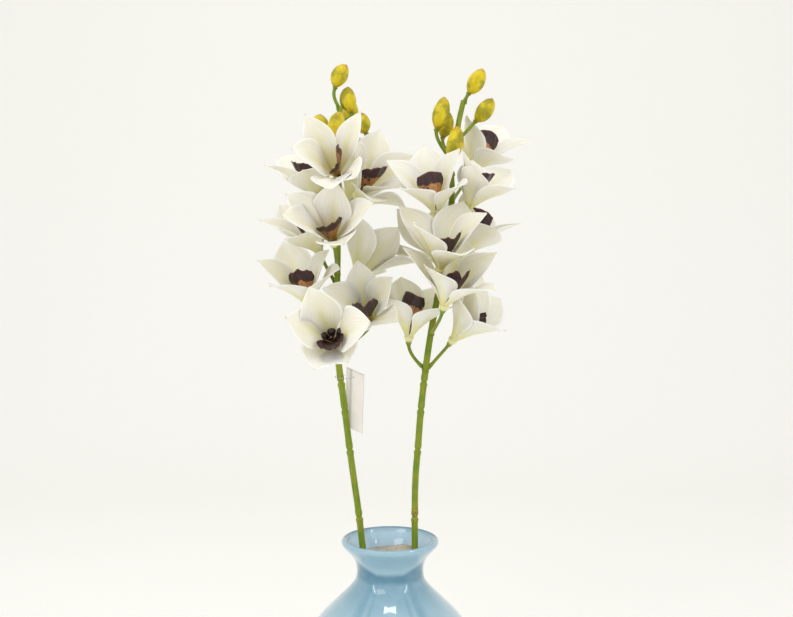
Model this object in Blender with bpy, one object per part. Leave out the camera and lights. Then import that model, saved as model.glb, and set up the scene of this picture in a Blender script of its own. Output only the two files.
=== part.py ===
"""Potted orchid: two sprays of cymbidium in a glass vase, with a blank hang tag.

Units are metres, +Z is up, and -Y is the front. The origin is the centre of the vase's
foot, on the surface that it stands on. Each spray is one jointed stem. Every flower is a
perianth (five petals and sepals, the receptacle and the column, grown as one) and a lip.
"""

import math
from collections import namedtuple

import bpy
import numpy as np

for old in list(bpy.data.objects):
    bpy.data.objects.remove(old, do_unlink=True)

# Clearance left between two pieces that touch
GAP = 0.0003

# Vase: (radius, height) of the outside from the foot to the rim, then of the inside back down
VASE_WALL = 0.003
VASE_OUTSIDE = [
    (0.0500, 0.0000), (0.0580, 0.0012), (0.0790, 0.0230), (0.0940, 0.0530), (0.0990, 0.0840),
    (0.0932, 0.1180), (0.0712, 0.1520), (0.0537, 0.1700), (0.0409, 0.1830), (0.0351, 0.1915),
    (0.0340, 0.1975), (0.0355, 0.2095), (0.0412, 0.2185), (0.0468, 0.2245), (0.0494, 0.2288),
]
VASE_LIP = [(0.0491, 0.2312), (0.0470, 0.2327), (0.0447, 0.2316)]
VASE_INSIDE = [
    (0.0428, 0.2282), (0.0382, 0.2220), (0.0326, 0.2118), (0.0309, 0.1975), (0.0322, 0.1930),
    (0.0379, 0.1815), (0.0514, 0.1678), (0.0684, 0.1500), (0.0902, 0.1160), (0.0960, 0.0840),
    (0.0910, 0.0540), (0.0762, 0.0248), (0.0560, 0.0050),
]
VASE_FLOOR = 0.0045
VASE_SIDES = 32

# Fill: pale sand from the floor of the vase up into its neck, heaped to one side
FILL_CLEARANCE = 0.0006
FILL_TOP = 0.2145
FILL_EDGE_RADIUS = 0.0335
FILL_HEAP = 0.0095
FILL_HEAP_AT = (0.013, 0.004)
FILL_HEAP_WIDTH = 0.021

# Stems
STEM_RADIUS = 0.0033
COLLAR_RADIUS = 0.0038
JOINT_RADIUS = 0.0026
JOINT_HEIGHTS = (0.254, 0.323, 0.364, 0.392)
STEM_FOOT = 0.012
STEM_SIDES = 8
STALK_RADIUS = 0.0017
STALK_END_RADIUS = 0.0029
STALK_SIDES = 5
STALK_ROWS = 6
STALK_REACH = 0.012
BUD_STALK_REACH = 0.010
TOP_RADIUS = 0.0026
HOLE_LEVELS = (0.0114, 0.06, 0.11, 0.16, 0.19, 0.215, 0.245)

# Tables of places are in millimetres
MM = 0.001

# Perianth: the receptacle's stub, then the two edges of the cup that the tepals grow from
STUB_RADIUS, STUB_BOTTOM = 0.0030, -0.0060
CUP_OUTER = (0.0046, -0.0008)
CUP_INNER = (0.0034, 0.0006)
COLUMN_RINGS = ((0.0015, 0.0006, 0.0), (0.0014, 0.0060, -0.0004), (0.0021, 0.0130, 0.0012))

# Tepals: name, place round the flower (0 is its top), angle from its axis at base and tip
TEPALS = (
    ("top_sepal", 0, 26, 58),
    ("right_petal", 72, 18, 48),
    ("right_sepal", 144, 26, 58),
    ("left_sepal", 216, 26, 58),
    ("left_petal", 288, 18, 48),
)
TEPAL_LENGTH = 0.070
TEPAL_WIDTH = 0.040
TEPAL_THICKNESS = 0.0012
TEPAL_CUP = 34
TEPAL_START = 0.0035
OPENING_AT_BASE = 0.6
TEPAL_PLACES = (0.20, 0.42, 0.64, 0.84, 1.0)
# (share of length, share of full width)
TEPAL_SHAPE = [
    (0.0, 0.14), (0.1, 0.20), (0.2, 0.34), (0.3, 0.54), (0.42, 0.82), (0.54, 0.99),
    (0.64, 0.98), (0.74, 0.84), (0.84, 0.58), (0.92, 0.31), (0.97, 0.12), (1.0, 0.05),
]

# Lip
LIP_WIDTH = 0.026
LIP_THICKNESS = 0.0012
LIP_START = (0.0032, 0.0012)
LIP_EASE = 1.6
LIP_PLACES = (0.0, 0.25, 0.45, 0.65, 0.83, 1.0)
LIP_SHAPE = [(0.0, 0.16), (0.25, 0.20), (0.42, 0.46), (0.62, 0.80), (0.82, 1.00), (1.0, 0.92)]
LIP_CUPS = [(0.0, 60), (0.4, 75), (1.0, 50)]

# Buds: (share of length, share of full width)
BUD_WIDTH = 0.0172
BUD_SIDES = 8
BUD_SHAPE = [(0.0, 0.20), (0.10, 0.55), (0.32, 0.94), (0.58, 1.00), (0.84, 0.62), (1.0, 0.10)]

Flower = namedtuple(
    "Flower",
    "heart facing opening lip swing lean length width drop",
    defaults=({}, {}, {}, {}, 32),
)
Spray = namedtuple("Spray", "route flowers buds")

# Hang tag: a folded card behind the left stem, and the thin loop that holds it
TAG_CORNER = (-44, 4.6, 407)
TAG_WIDTH = 0.018
TAG_HEIGHT = 0.060
TAG_SLANT = 0.45
TAG_DRIFT = -0.002
TAG_LEAF = 0.0005
TAG_PARTING = 0.0008
TAG_FOLD = 0.0006
TAG_HOLE = (-36, 5.5, 397)
TAG_HOLE_RADIUS = 0.0016
LOOP_CENTRE = (-45.9, 5.5, 397)
LOOP_HALF_WIDTH = 0.0099
LOOP_HALF_DEPTH = 0.0135
LOOP_RADIUS = 0.0004
LOOP_STEPS = 16
LOOP_SIDES = 4


# A heart is where the tepals meet. A flower faces (azimuth, elevation, roll) and
# opens by the angle after it. A lip has its turn, its angle at foot and tip, and its length.
# Swing moves a tepal round the flower, lean opens it further, and lengths and widths are
# shares of the full size. A bud has its base, its tip and the height at which its stalk leaves the stem.
SPRAYS = {
    "left": Spray(
        route=[
            (-6, 0, 12), (-13, 0, 100), (-24, 0, 197), (-28, 0, 224), (-31, 0, 251), (-40, 0, 318),
            (-47, 0, 374), (-52, 0, 415), (-53, 0, 475), (-52, 0, 535), (-52, 0, 595),
            (-51, 0, 654), (-49, 0, 668),
        ],
        flowers=[
            Flower(
                (-50, -35, 596), (-9, 29, 31), -4, lip=(-50, 12, 5, 37),
                swing=dict(top_sepal=-5, right_petal=-5, right_sepal=25, left_sepal=-15),
                lean=dict(top_sepal=-5, right_petal=10, right_sepal=-5, left_petal=-5),
                length=dict(left_sepal=1.05),
                width=dict(top_sepal=0.75, right_petal=0.65, left_petal=0.95),
            ),
            Flower(
                (-33, 6, 579), (36, 37, -11), -1, lip=(-5, 10, -20, 44),
                swing=dict(top_sepal=15, right_petal=-5, right_sepal=10, left_sepal=-15),
                lean=dict(top_sepal=10, right_petal=10, right_sepal=-10, left_sepal=5, left_petal=-5),
            ),
            Flower(
                (-72, 32, 575), (-51, 65, 16), 9, lip=(0, 15, 0, 44),
                swing=dict(top_sepal=-5, right_petal=-5, left_sepal=-10, left_petal=5),
                lean=dict(top_sepal=5, right_petal=-5, left_sepal=-15, left_petal=5),
                length=dict(right_petal=0.95),
            ),
            Flower(
                (-46, 42, 570), (135, 48, 11), 2, lip=(0, 4, 10, 42),
                swing=dict(top_sepal=-10, right_sepal=-5, left_sepal=-5),
                lean=dict(right_petal=15, right_sepal=-5, left_sepal=5, left_petal=-5),
                length=dict(top_sepal=1.05, right_petal=0.9),
            ),
            Flower(
                (-54, -46, 533), (-7, 38, -14), -8, lip=(-35, 14, 0, 37),
                swing=dict(right_petal=5, right_sepal=-5, left_sepal=15, left_petal=-15),
                lean=dict(top_sepal=-10, right_petal=10, right_sepal=5, left_sepal=-5, left_petal=5),
                length=dict(top_sepal=0.9, right_petal=1.05, left_sepal=1.05),
            ),
            Flower(
                (-70, 5, 521), (-44, 59, -1), 1, lip=(-20, 10, -10, 40),
                swing=dict(right_petal=-5, right_sepal=-5),
                lean=dict(top_sepal=-5, right_petal=-5, right_sepal=5, left_sepal=-10, left_petal=15),
                length=dict(top_sepal=0.95),
                width=dict(right_petal=0.95),
            ),
            Flower(
                (-35, 21, 493), (133, 54, 10), 4, lip=(0, 4, 10, 42),
                swing=dict(top_sepal=-5, right_petal=5, left_petal=10),
                lean=dict(right_sepal=5, left_sepal=-5, left_petal=-5),
                width=dict(right_petal=0.9, left_petal=0.95),
            ),
            Flower(
                (-81, -2, 470), (-23, 58, 35), -4, lip=(20, 10, -25, 40),
                swing=dict(top_sepal=-5, right_petal=20, right_sepal=-10, left_sepal=5),
                lean=dict(top_sepal=5, right_sepal=5),
                length=dict(right_petal=0.9, left_sepal=1.05),
                width=dict(left_petal=0.95),
            ),
            Flower(
                (-21, -3, 454), (-7, 36, 8), 0, lip=(0, 12, -14, 40),
                swing=dict(top_sepal=-5, right_petal=-5, right_sepal=-5, left_sepal=5, left_petal=-5),
                lean=dict(top_sepal=-5, right_petal=-5, left_sepal=5),
                length=dict(top_sepal=0.9, right_petal=0.9, right_sepal=0.95, left_sepal=0.8, left_petal=0.95),
                width=dict(top_sepal=0.85, right_petal=0.9, right_sepal=0.8, left_petal=0.95),
            ),
            Flower(
                (-53, -64, 439), (-7, 23, 9), 3, lip=(-10, 12, 45, 35),
                swing=dict(top_sepal=-15, right_petal=25, right_sepal=10, left_sepal=-10),
                lean=dict(top_sepal=-15, right_sepal=5, left_sepal=5, left_petal=-5),
                length=dict(right_sepal=0.6, left_sepal=0.65, left_petal=0.95),
                width=dict(right_petal=1.1, left_sepal=1.05),
                drop=16,
            ),
        ],
        buds=[
            ((-54, 0, 686), (-43, 0, 708), 665),
            ((-38, 4, 662), (-42, 5, 687), 655),
            ((-51, -31, 633), (-48, -31, 659), 606),
            ((-37, 24, 655), (-40, 25, 677), 646),
            ((-24, 12, 642), (-28, 12, 662), 625),
            ((-68, 24, 645), (-71, 26, 662), 636),
        ],
    ),
    "right": Spray(
        route=[
            (12, 0, 12), (17, 0, 100), (23.6, 0, 197), (25, 0, 224), (25, 0, 251), (26, 0, 299),
            (28, 0, 324), (31, 0, 364), (34, 0, 392), (36, 0, 408), (41, 0, 442), (52, 0, 502),
            (58, 0, 545), (62, 0, 585), (61, 0, 610), (65, 0, 632), (69, 0, 656), (73, 0, 673),
        ],
        flowers=[
            Flower(
                (83, 49, 605), (58, 59, -7), 9, lip=(45, 5, -20, 44),
                swing=dict(top_sepal=5, right_petal=-5, right_sepal=-5, left_sepal=-5, left_petal=-5),
                lean=dict(top_sepal=10, right_petal=5, right_sepal=-15, left_sepal=5, left_petal=-5),
                length=dict(left_petal=0.95),
            ),
            Flower(
                (75, -31, 565), (49, 62, 45), -1, lip=(45, 10, 5, 42),
                swing=dict(top_sepal=-20, right_sepal=-20, left_sepal=25, left_petal=10),
                lean=dict(top_sepal=-15, right_sepal=15, left_sepal=5),
                length=dict(top_sepal=0.9, right_petal=0.7, left_petal=0.85),
                width=dict(top_sepal=0.9, right_petal=0.95, left_sepal=0.75, left_petal=0.8),
            ),
            Flower(
                (45, -30, 561), (-21, 61, 22), 1, lip=(-5, 10, -25, 41),
                swing=dict(left_sepal=-5, left_petal=5),
                lean=dict(right_petal=-5, right_sepal=5),
                length=dict(right_petal=0.95, left_sepal=1.05),
                width=dict(right_sepal=0.85, left_sepal=0.85),
            ),
            Flower(
                (68, 6, 517), (84, 60, -29), -3, lip=(45, 5, -10, 50),
                swing=dict(top_sepal=5, right_petal=-10, left_sepal=5),
                lean=dict(top_sepal=10, right_petal=10, right_sepal=-10, left_sepal=10),
                length=dict(right_petal=1.05, left_petal=0.95),
            ),
            Flower(
                (52, 27, 511), (214, 54, -10), -9, lip=(-15, 4, 10, 42),
                swing=dict(top_sepal=15, right_petal=-10, right_sepal=-5, left_petal=5),
                lean=dict(top_sepal=15, right_petal=5, right_sepal=15, left_sepal=10),
                length=dict(top_sepal=0.8),
                width=dict(right_sepal=1.05, left_sepal=0.95, left_petal=1.05),
            ),
            Flower(
                (48, -57, 508), (12, 62, -27), 8, lip=(-40, 20, 5, 42),
                swing=dict(top_sepal=5, right_petal=-10, right_sepal=5, left_petal=5),
                lean=dict(top_sepal=-5, right_petal=-10, left_sepal=-15, left_petal=10),
            ),
            Flower(
                (52, -53, 473), (25, 62, -20), 1, lip=(-25, 25, 0, 44),
                swing=dict(top_sepal=15, left_sepal=5, left_petal=-10),
                lean=dict(top_sepal=5, right_sepal=5, left_sepal=-5, left_petal=10),
                length=dict(top_sepal=1.05, right_sepal=1.05),
                width=dict(top_sepal=0.95, left_sepal=0.95, left_petal=0.9),
            ),
            Flower(
                (19, 5, 437), (22, 84, -9), 6, lip=(40, 5, -30, 42),
                swing=dict(right_petal=-25, right_sepal=10, left_sepal=10),
                lean=dict(top_sepal=-10, right_petal=10, right_sepal=10, left_sepal=-5),
                length=dict(right_sepal=1.05, left_sepal=0.9, left_petal=1.05),
                width=dict(top_sepal=0.95, right_petal=0.9, right_sepal=0.95, left_sepal=0.75, left_petal=0.9),
            ),
            Flower(
                (63, -1, 435), (59, 48, 32), 0, lip=(5, 20, 10, 37),
                swing=dict(top_sepal=-30, right_petal=5, right_sepal=-30, left_sepal=20, left_petal=30),
                lean=dict(top_sepal=-20, right_sepal=10, left_sepal=-5, left_petal=5),
                length=dict(top_sepal=1.05, right_sepal=1.05),
                width=dict(right_sepal=1.05, left_petal=0.95),
            ),
        ],
        buds=[
            ((78, 0, 680), (92, 0, 704), 671),
            ((85, 2, 653), (102, 2, 675), 632),
            ((46, -6, 644), (54, -6, 676), 614),
            ((53, 16, 638), (57, 18, 665), 618),
            ((59, -22, 613), (66, -23, 646), 600),
        ],
    ),
}


def material(name, colour, roughness, metallic=0.0, coat=0.0):
    made = bpy.data.materials.new(name)
    made.use_nodes = True
    shader = made.node_tree.nodes["Principled BSDF"]
    shader.inputs["Base Color"].default_value = (*colour, 1.0)
    shader.inputs["Roughness"].default_value = roughness
    shader.inputs["Metallic"].default_value = metallic
    shader.inputs["Coat Weight"].default_value = coat
    made.diffuse_color = (*colour, 1.0)
    return made


GLASS = material("glass", (0.32, 0.50, 0.60), 0.12, coat=0.5)
SAND = material("sand", (0.45, 0.39, 0.30), 0.9)
STEM_GREEN = material("stem_green", (0.16, 0.26, 0.03), 0.5)
PETAL_CREAM = material("petal_cream", (0.80, 0.79, 0.66), 0.55)
LIP_MAROON = material("lip_maroon", (0.06, 0.02, 0.025), 0.45)
BUD_YELLOW = material("bud_yellow", (0.62, 0.52, 0.04), 0.5)
CARD_WHITE = material("card_white", (0.78, 0.76, 0.71), 0.7)
LOOP_CLEAR = material("loop_clear", (0.70, 0.72, 0.70), 0.3)


def eased(pairs, places):
    """Values at the places asked for, on a smooth curve through (place, value) pairs."""
    known = np.array([pair[0] for pair in pairs], float)
    values = np.array([pair[1] for pair in pairs], float)
    slopes = np.gradient(values, known, axis=0)
    places = np.asarray(places, float)
    span = np.clip(np.searchsorted(known, places, side="right") - 1, 0, len(known) - 2)
    step = known[span + 1] - known[span]
    t = (places - known[span]) / step
    return (
        (1 + 2 * t) * (1 - t) ** 2 * values[span]
        + t * (1 - t) ** 2 * step * slopes[span]
        + t * t * (3 - 2 * t) * values[span + 1]
        + t * t * (t - 1) * step * slopes[span + 1]
    )


def solid(name, points, faces, look, smooth=True):
    """A mesh object, turned to face out, from points in metres."""
    mesh = bpy.data.meshes.new(name)
    mesh.from_pydata([tuple(float(value) for value in point) for point in points], [], faces)
    mesh.validate()
    made = bpy.data.objects.new(name, mesh)
    bpy.context.scene.collection.objects.link(made)
    mesh.materials.append(look)
    mesh.polygons.foreach_set("use_smooth", [smooth] * len(mesh.polygons))
    mesh.calc_loop_triangles()
    corners = np.array([[mesh.vertices[i].co for i in tri.vertices] for tri in mesh.loop_triangles])
    if np.linalg.det(corners).sum() < 0:
        mesh.flip_normals()
    return made


def helper(made):
    """Hides a shape that is only used by a Boolean."""
    made.hide_render = True
    made.display_type = "WIRE"
    return made


def combine(target, other, operation):
    cut = target.modifiers.new(other.name, "BOOLEAN")
    cut.operation = operation
    cut.solver = "EXACT"
    cut.object = helper(other)


def lathed(name, profile, sides, look, shift=None):
    """Turns (radius, height) points about +Z; the first and last close with flat discs."""
    turns = [2 * math.pi * k / sides for k in range(sides)]
    points = [(r * math.cos(a), r * math.sin(a), z) for r, z in profile for a in turns]
    if shift:
        points = [shift(point) for point in points]
    faces = []
    for row in range(len(profile) - 1):
        for k in range(sides):
            here = row * sides + k
            beside = row * sides + (k + 1) % sides
            faces.append((here, beside, beside + sides, here + sides))
    faces.append(tuple(range(sides))[::-1])
    faces.append(tuple(range((len(profile) - 1) * sides, len(profile) * sides)))
    return solid(name, points, faces, look)


def tube_mesh(route, radii, sides, along=None):
    """Points and faces of a round tube along a route, closed at both ends."""
    route = np.asarray(route, float)
    if along is None:
        along = np.gradient(route, axis=0)
    along = along / np.linalg.norm(along, axis=1)[:, None]
    across = np.cross(along[0], (0.0, 1.0, 0.3))
    points = []
    for centre, forward, radius in zip(route, along, radii):
        across = across - (across @ forward) * forward
        across /= np.linalg.norm(across)
        other = np.cross(forward, across)
        for k in range(sides):
            turn = 2 * math.pi * k / sides
            points.append(centre + radius * (math.cos(turn) * across + math.sin(turn) * other))
    faces = []
    for row in range(len(route) - 1):
        for k in range(sides):
            here = row * sides + k
            beside = row * sides + (k + 1) % sides
            faces.append((here, beside, beside + sides, here + sides))
    faces.append(tuple(range(sides))[::-1])
    faces.append(tuple(range((len(route) - 1) * sides, len(route) * sides)))
    return points, faces


def facing_frame(azimuth, elevation, roll):
    """Columns are a flower's right, its top and the way that it faces; 0, 0 faces the front."""
    azimuth, elevation, roll = (math.radians(angle) for angle in (azimuth, elevation, roll))
    flat = math.cos(elevation)
    ahead = np.array([math.sin(azimuth) * flat, -math.cos(azimuth) * flat, math.sin(elevation)])
    top = np.array([0.0, 0.0, 1.0]) - ahead[2] * ahead
    top /= np.linalg.norm(top)
    right = np.cross(top, ahead)
    turned_top = math.cos(roll) * top - math.sin(roll) * right
    turned_right = math.cos(roll) * right + math.sin(roll) * top
    return np.stack([turned_right, turned_top, ahead], axis=1)


def midrib(length, base_angle, tip_angle, ease, start):
    """(share of length, distance out, height, angle) along a blade that opens to its tip."""
    share = np.linspace(0, 1, 65)
    angle = np.radians(base_angle + (tip_angle - base_angle) * share**ease)
    middle = (angle[1:] + angle[:-1]) / 2
    out = start[0] + np.concatenate([[0], np.cumsum(np.sin(middle))]) * length / 64
    up = start[1] + np.concatenate([[0], np.cumsum(np.cos(middle))]) * length / 64
    return share, out, up, angle


def blade(theta, spine, places, half_widths, cups, spread, lift):
    """A grid of points on a cupped blade; lift moves it toward the middle of the flower."""
    share, out, up, angle = spine
    out, up, angle = (np.interp(places, share, values) for values in (out, up, angle))
    cups = np.radians(cups)[:, None]
    half_widths = half_widths[:, None]
    across = half_widths * np.sin(cups * spread) / np.sin(cups)
    rise = half_widths * (1 - np.cos(cups * spread)) / np.sin(cups) + lift
    theta = math.radians(theta)
    outward = np.array([math.sin(theta), math.cos(theta), 0.0])
    sideways = np.array([math.cos(theta), -math.sin(theta), 0.0])
    forward = np.array([0.0, 0.0, 1.0])
    from_axis = out[:, None] - rise * np.cos(angle)[:, None]
    height = up[:, None] + rise * np.sin(angle)[:, None]
    return from_axis[..., None] * outward + across[..., None] * sideways + height[..., None] * forward


def perianth(name, flower):
    """Five tepals on one receptacle with the column in the middle, as one closed body."""
    per_ring = 3 * len(TEPALS)
    ring_angles = [math.radians(24 * (k - 1)) for k in range(per_ring)]
    points = []
    for radius, height in ((STUB_RADIUS, STUB_BOTTOM), CUP_OUTER, CUP_INNER):
        points += [(radius * math.sin(a), radius * math.cos(a), height) for a in ring_angles]
    bottom, outer_ring, inner_ring = 0, per_ring, 2 * per_ring
    faces = [tuple(range(bottom, bottom + per_ring))]
    spread = np.array([-1.0, 0.0, 1.0])
    for k, (tepal, theta, base_angle, tip_angle) in enumerate(TEPALS):
        lean = flower.lean.get(tepal, 0)
        spine = midrib(
            TEPAL_LENGTH * flower.length.get(tepal, 1),
            base_angle + OPENING_AT_BASE * flower.opening + lean,
            tip_angle + flower.opening + lean,
            1.0,
            (TEPAL_START, 0.0),
        )
        half = TEPAL_WIDTH / 2 * flower.width.get(tepal, 1) * eased(TEPAL_SHAPE, TEPAL_PLACES)
        cups = np.full(len(TEPAL_PLACES), TEPAL_CUP)
        theta += flower.swing.get(tepal, 0)
        rows = []
        for ring, lift in ((outer_ring, 0.0), (inner_ring, TEPAL_THICKNESS)):
            grid = blade(theta, spine, TEPAL_PLACES, half, cups, spread, lift)
            side = [[ring + 3 * k + j for j in range(3)]]
            for row in grid:
                side.append([len(points) + j for j in range(3)])
                points += list(row)
            rows.append(side)
        outside, inside = rows
        for low, high, low_in, high_in in zip(outside, outside[1:], inside, inside[1:]):
            for j in range(2):
                faces.append((low[j + 1], low[j], high[j], high[j + 1]))
                faces.append((low_in[j], low_in[j + 1], high_in[j + 1], high_in[j]))
            faces.append((low[0], low_in[0], high_in[0], high[0]))
            faces.append((low_in[2], low[2], high[2], high_in[2]))
        for j in range(2):
            faces.append((outside[-1][j + 1], outside[-1][j], inside[-1][j], inside[-1][j + 1]))
    for k in range(per_ring):
        beside = (k + 1) % per_ring
        faces.append((bottom + beside, bottom + k, outer_ring + k, outer_ring + beside))
        if k % 3 == 2:
            faces.append((outer_ring + beside, outer_ring + k, inner_ring + k, inner_ring + beside))
    points, faces = with_column(points, faces, inner_ring, per_ring)
    frame = facing_frame(*flower.facing)
    points = np.array(points) @ frame.T + np.array(flower.heart) * MM
    return solid(name, points, faces, PETAL_CREAM)


def with_column(points, faces, inner_ring, per_ring):
    """Closes the floor of the cup and raises the column from it, leaning to the top sepal."""
    rings = []
    for radius, height, lean in COLUMN_RINGS:
        rings.append(len(points))
        for k in range(5):
            turn = math.radians(72 * k)
            points.append((radius * math.sin(turn), radius * math.cos(turn) + lean, height))
    foot = rings[0]
    for k in range(5):
        at = [inner_ring + (3 * k + j) % per_ring for j in range(4)]
        for j in range(3):
            faces.append((at[j + 1], at[j], foot + k))
        faces.append((at[3], foot + k, foot + (k + 1) % 5))
    for low, high in zip(rings, rings[1:]):
        for k in range(5):
            faces.append((low + (k + 1) % 5, low + k, high + k, high + (k + 1) % 5))
    faces.append(tuple(rings[-1] + k for k in (4, 3, 2, 1, 0)))
    return points, faces


def lip(name, flower):
    """The scoop that stands in front of the column, narrow at its foot."""
    turn, foot_angle, tip_angle, length = flower.lip
    spine = midrib(length * MM, foot_angle, tip_angle, LIP_EASE, LIP_START)
    half = LIP_WIDTH / 2 * eased(LIP_SHAPE, LIP_PLACES)
    cups = np.interp(LIP_PLACES, *zip(*LIP_CUPS))
    spread = np.linspace(-1, 1, 5)
    theta = 180 + turn
    outside = blade(theta, spine, LIP_PLACES, half, cups, spread, 0.0)
    inside = blade(theta, spine, LIP_PLACES, half, cups, spread, LIP_THICKNESS)
    rows, columns = outside.shape[:2]
    back = rows * columns
    points = np.concatenate([outside.reshape(-1, 3), inside.reshape(-1, 3)])
    faces = []
    for i in range(rows - 1):
        for j in range(columns - 1):
            a, b = i * columns + j, i * columns + j + 1
            c, d = b + columns, a + columns
            faces.append((a, b, c, d))
            faces.append((back + b, back + a, back + d, back + c))
        left, right = i * columns, i * columns + columns - 1
        faces.append((back + left, left, left + columns, back + left + columns))
        faces.append((right, back + right, back + right + columns, right + columns))
    last = (rows - 1) * columns
    for j in range(columns - 1):
        faces.append((j + 1, j, back + j, back + j + 1))
        faces.append((last + j, last + j + 1, back + last + j + 1, back + last + j))
    frame = facing_frame(*flower.facing)
    points = points @ frame.T + np.array(flower.heart) * MM
    return solid(name, points, faces, LIP_MAROON)


def bud(name, base, tip):
    base, tip = np.array(base) * MM, np.array(tip) * MM
    route = [base + (tip - base) * place for place, _ in BUD_SHAPE]
    radii = [BUD_WIDTH / 2 * share for _, share in BUD_SHAPE]
    return solid(name, *tube_mesh(route, radii, BUD_SIDES), BUD_YELLOW)


def stalk(points, faces, start, bend, end):
    """Adds a flower or bud stalk: a curve that leaves start toward bend and arrives at end."""
    t = np.linspace(0, 1, STALK_ROWS)[:, None]
    route = (1 - t) ** 2 * start + 2 * t * (1 - t) * bend + t * t * end
    radii = [STALK_END_RADIUS] + [STALK_RADIUS] * (STALK_ROWS - 1)
    along = (1 - t) * (bend - start) + t * (end - bend)
    made, sides = tube_mesh(route, radii, STALK_SIDES, along)
    first = len(points)
    points += list(made)
    faces += [tuple(first + i for i in face) for face in sides]


def stem_point(route, height):
    """The point of a stem at a height."""
    route = np.array(route, float) * MM
    return np.array([np.interp(height, route[:, 2], route[:, axis]) for axis in range(3)])


def stem_profile(height):
    """Radius of a stem: wide under each joint, pinched at it, and finer toward the top."""
    taper = np.interp(height, (0.40, 0.68), (STEM_RADIUS, TOP_RADIUS))
    for joint in JOINT_HEIGHTS:
        if joint - 0.010 < height < joint - 0.001:
            return COLLAR_RADIUS
        if joint - 0.001 <= height <= joint + 0.003:
            return JOINT_RADIUS
    return taper


def stem(name, spray):
    low, high = STEM_FOOT, spray.route[-1][2] * MM
    levels = list(np.linspace(low, JOINT_HEIGHTS[0] - 0.016, 6))
    for joint in JOINT_HEIGHTS:
        levels += [joint - 0.012, joint - 0.009, joint - 0.002, joint, joint + 0.006]
    levels += list(np.linspace(JOINT_HEIGHTS[-1] + 0.02, high, 12))
    smooth = [(point[2] * MM, (point[0] * MM, point[1] * MM)) for point in spray.route]
    route = [(*stem_across(smooth, level), level) for level in levels]
    radii = [stem_profile(level) for level in levels]
    made = solid(name, *tube_mesh(route, radii, STEM_SIDES), STEM_GREEN)
    points, faces = [], []
    for flower in spray.flowers:
        frame = facing_frame(*flower.facing)
        heart = np.array(flower.heart) * MM
        start = heart + frame[:, 2] * (STUB_BOTTOM - GAP)
        end = stem_point(spray.route, heart[2] - flower.drop * MM)
        stalk(points, faces, start, start - frame[:, 2] * STALK_REACH, end)
    for base, tip, foot in spray.buds:
        base, tip = np.array(base) * MM, np.array(tip) * MM
        ahead = (tip - base) / np.linalg.norm(tip - base)
        start = base - ahead * GAP
        bend = start - ahead * BUD_STALK_REACH
        stalk(points, faces, start, bend, stem_point(spray.route, foot * MM))
    stalks = solid(name + "_stalks", points, faces, STEM_GREEN)
    combine(made, stalks, "UNION")
    made.modifiers[0].use_self = True
    cutter = tube_mesh(
        [(*stem_across(smooth, level), level) for level in HOLE_LEVELS],
        [COLLAR_RADIUS + FILL_CLEARANCE] * len(HOLE_LEVELS),
        STEM_SIDES * 2,
    )
    return made, solid(name + "_hole", *cutter, SAND)


def stem_across(smooth, level):
    heights = [pair[0] for pair in smooth]
    x = eased([(height, pair[1][0]) for height, pair in zip(heights, smooth)], [level])[0]
    y = eased([(height, pair[1][1]) for height, pair in zip(heights, smooth)], [level])[0]
    return x, y


def heaped(point):
    """Raises the top of the fill into a soft heap."""
    x, y, z = point
    if z < FILL_TOP - 0.0005:
        return point
    away = math.hypot(x - FILL_HEAP_AT[0], y - FILL_HEAP_AT[1])
    return x, y, z + FILL_HEAP * math.exp(-((away / FILL_HEAP_WIDTH) ** 2))


vase = lathed("vase", VASE_OUTSIDE + VASE_LIP + VASE_INSIDE + [(0.050, VASE_FLOOR)], VASE_SIDES, GLASS)

fill_edge = [(r - FILL_CLEARANCE, z) for r, z in VASE_INSIDE if z < FILL_TOP]
fill_profile = [(0.0495, VASE_FLOOR + GAP), (fill_edge[-1][0], fill_edge[-1][1] + 2 * GAP)]
fill_profile += fill_edge[-2::-1]
fill_profile += [(FILL_EDGE_RADIUS, FILL_TOP)]
fill_profile += [(FILL_EDGE_RADIUS * share, FILL_TOP) for share in (0.75, 0.5, 0.25)]
fill = lathed("fill", fill_profile, VASE_SIDES, SAND, heaped)

for side, spray in SPRAYS.items():
    _, hole = stem(f"stem_{side}", spray)
    combine(fill, hole, "DIFFERENCE")
    for number, flower in enumerate(spray.flowers, 1):
        perianth(f"flower_{side}_{number:02d}", flower)
        lip(f"lip_{side}_{number:02d}", flower)
    for number, (base, tip, _) in enumerate(spray.buds, 1):
        bud(f"bud_{side}_{number:02d}", base, tip)


def folded_card(name):
    """Two leaves joined by a fold down one side, cut on a slant along the top."""
    back = TAG_LEAF * 2 + TAG_PARTING
    section = [
        (0.0, 0.0), (TAG_WIDTH, 0.0), (TAG_WIDTH, TAG_LEAF), (TAG_FOLD, TAG_LEAF),
        (TAG_FOLD, TAG_LEAF + TAG_PARTING), (TAG_WIDTH, TAG_LEAF + TAG_PARTING),
        (TAG_WIDTH, back), (0.0, back),
    ]
    points = [(x + TAG_DRIFT, y, -TAG_HEIGHT - x * TAG_SLANT) for x, y in section]
    points += [(x, y, -x * TAG_SLANT) for x, y in section]
    count = len(section)
    faces = [(k, (k + 1) % count, count + (k + 1) % count, count + k) for k in range(count)]
    faces += [tuple(range(count))[::-1], tuple(range(count, 2 * count))]
    points = [np.array(point) + np.array(TAG_CORNER) * MM for point in points]
    return solid(name, points, faces, CARD_WHITE, smooth=False)


hang_tag = folded_card("hang_tag")
hole_route = [(TAG_HOLE[0], TAG_HOLE[1] + step, TAG_HOLE[2]) for step in (-3, 0, 4)]
hole_points, hole_faces = tube_mesh(np.array(hole_route) * MM, [TAG_HOLE_RADIUS] * 3, 12)
combine(hang_tag, solid("tag_hole", hole_points, hole_faces, CARD_WHITE), "DIFFERENCE")


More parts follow.
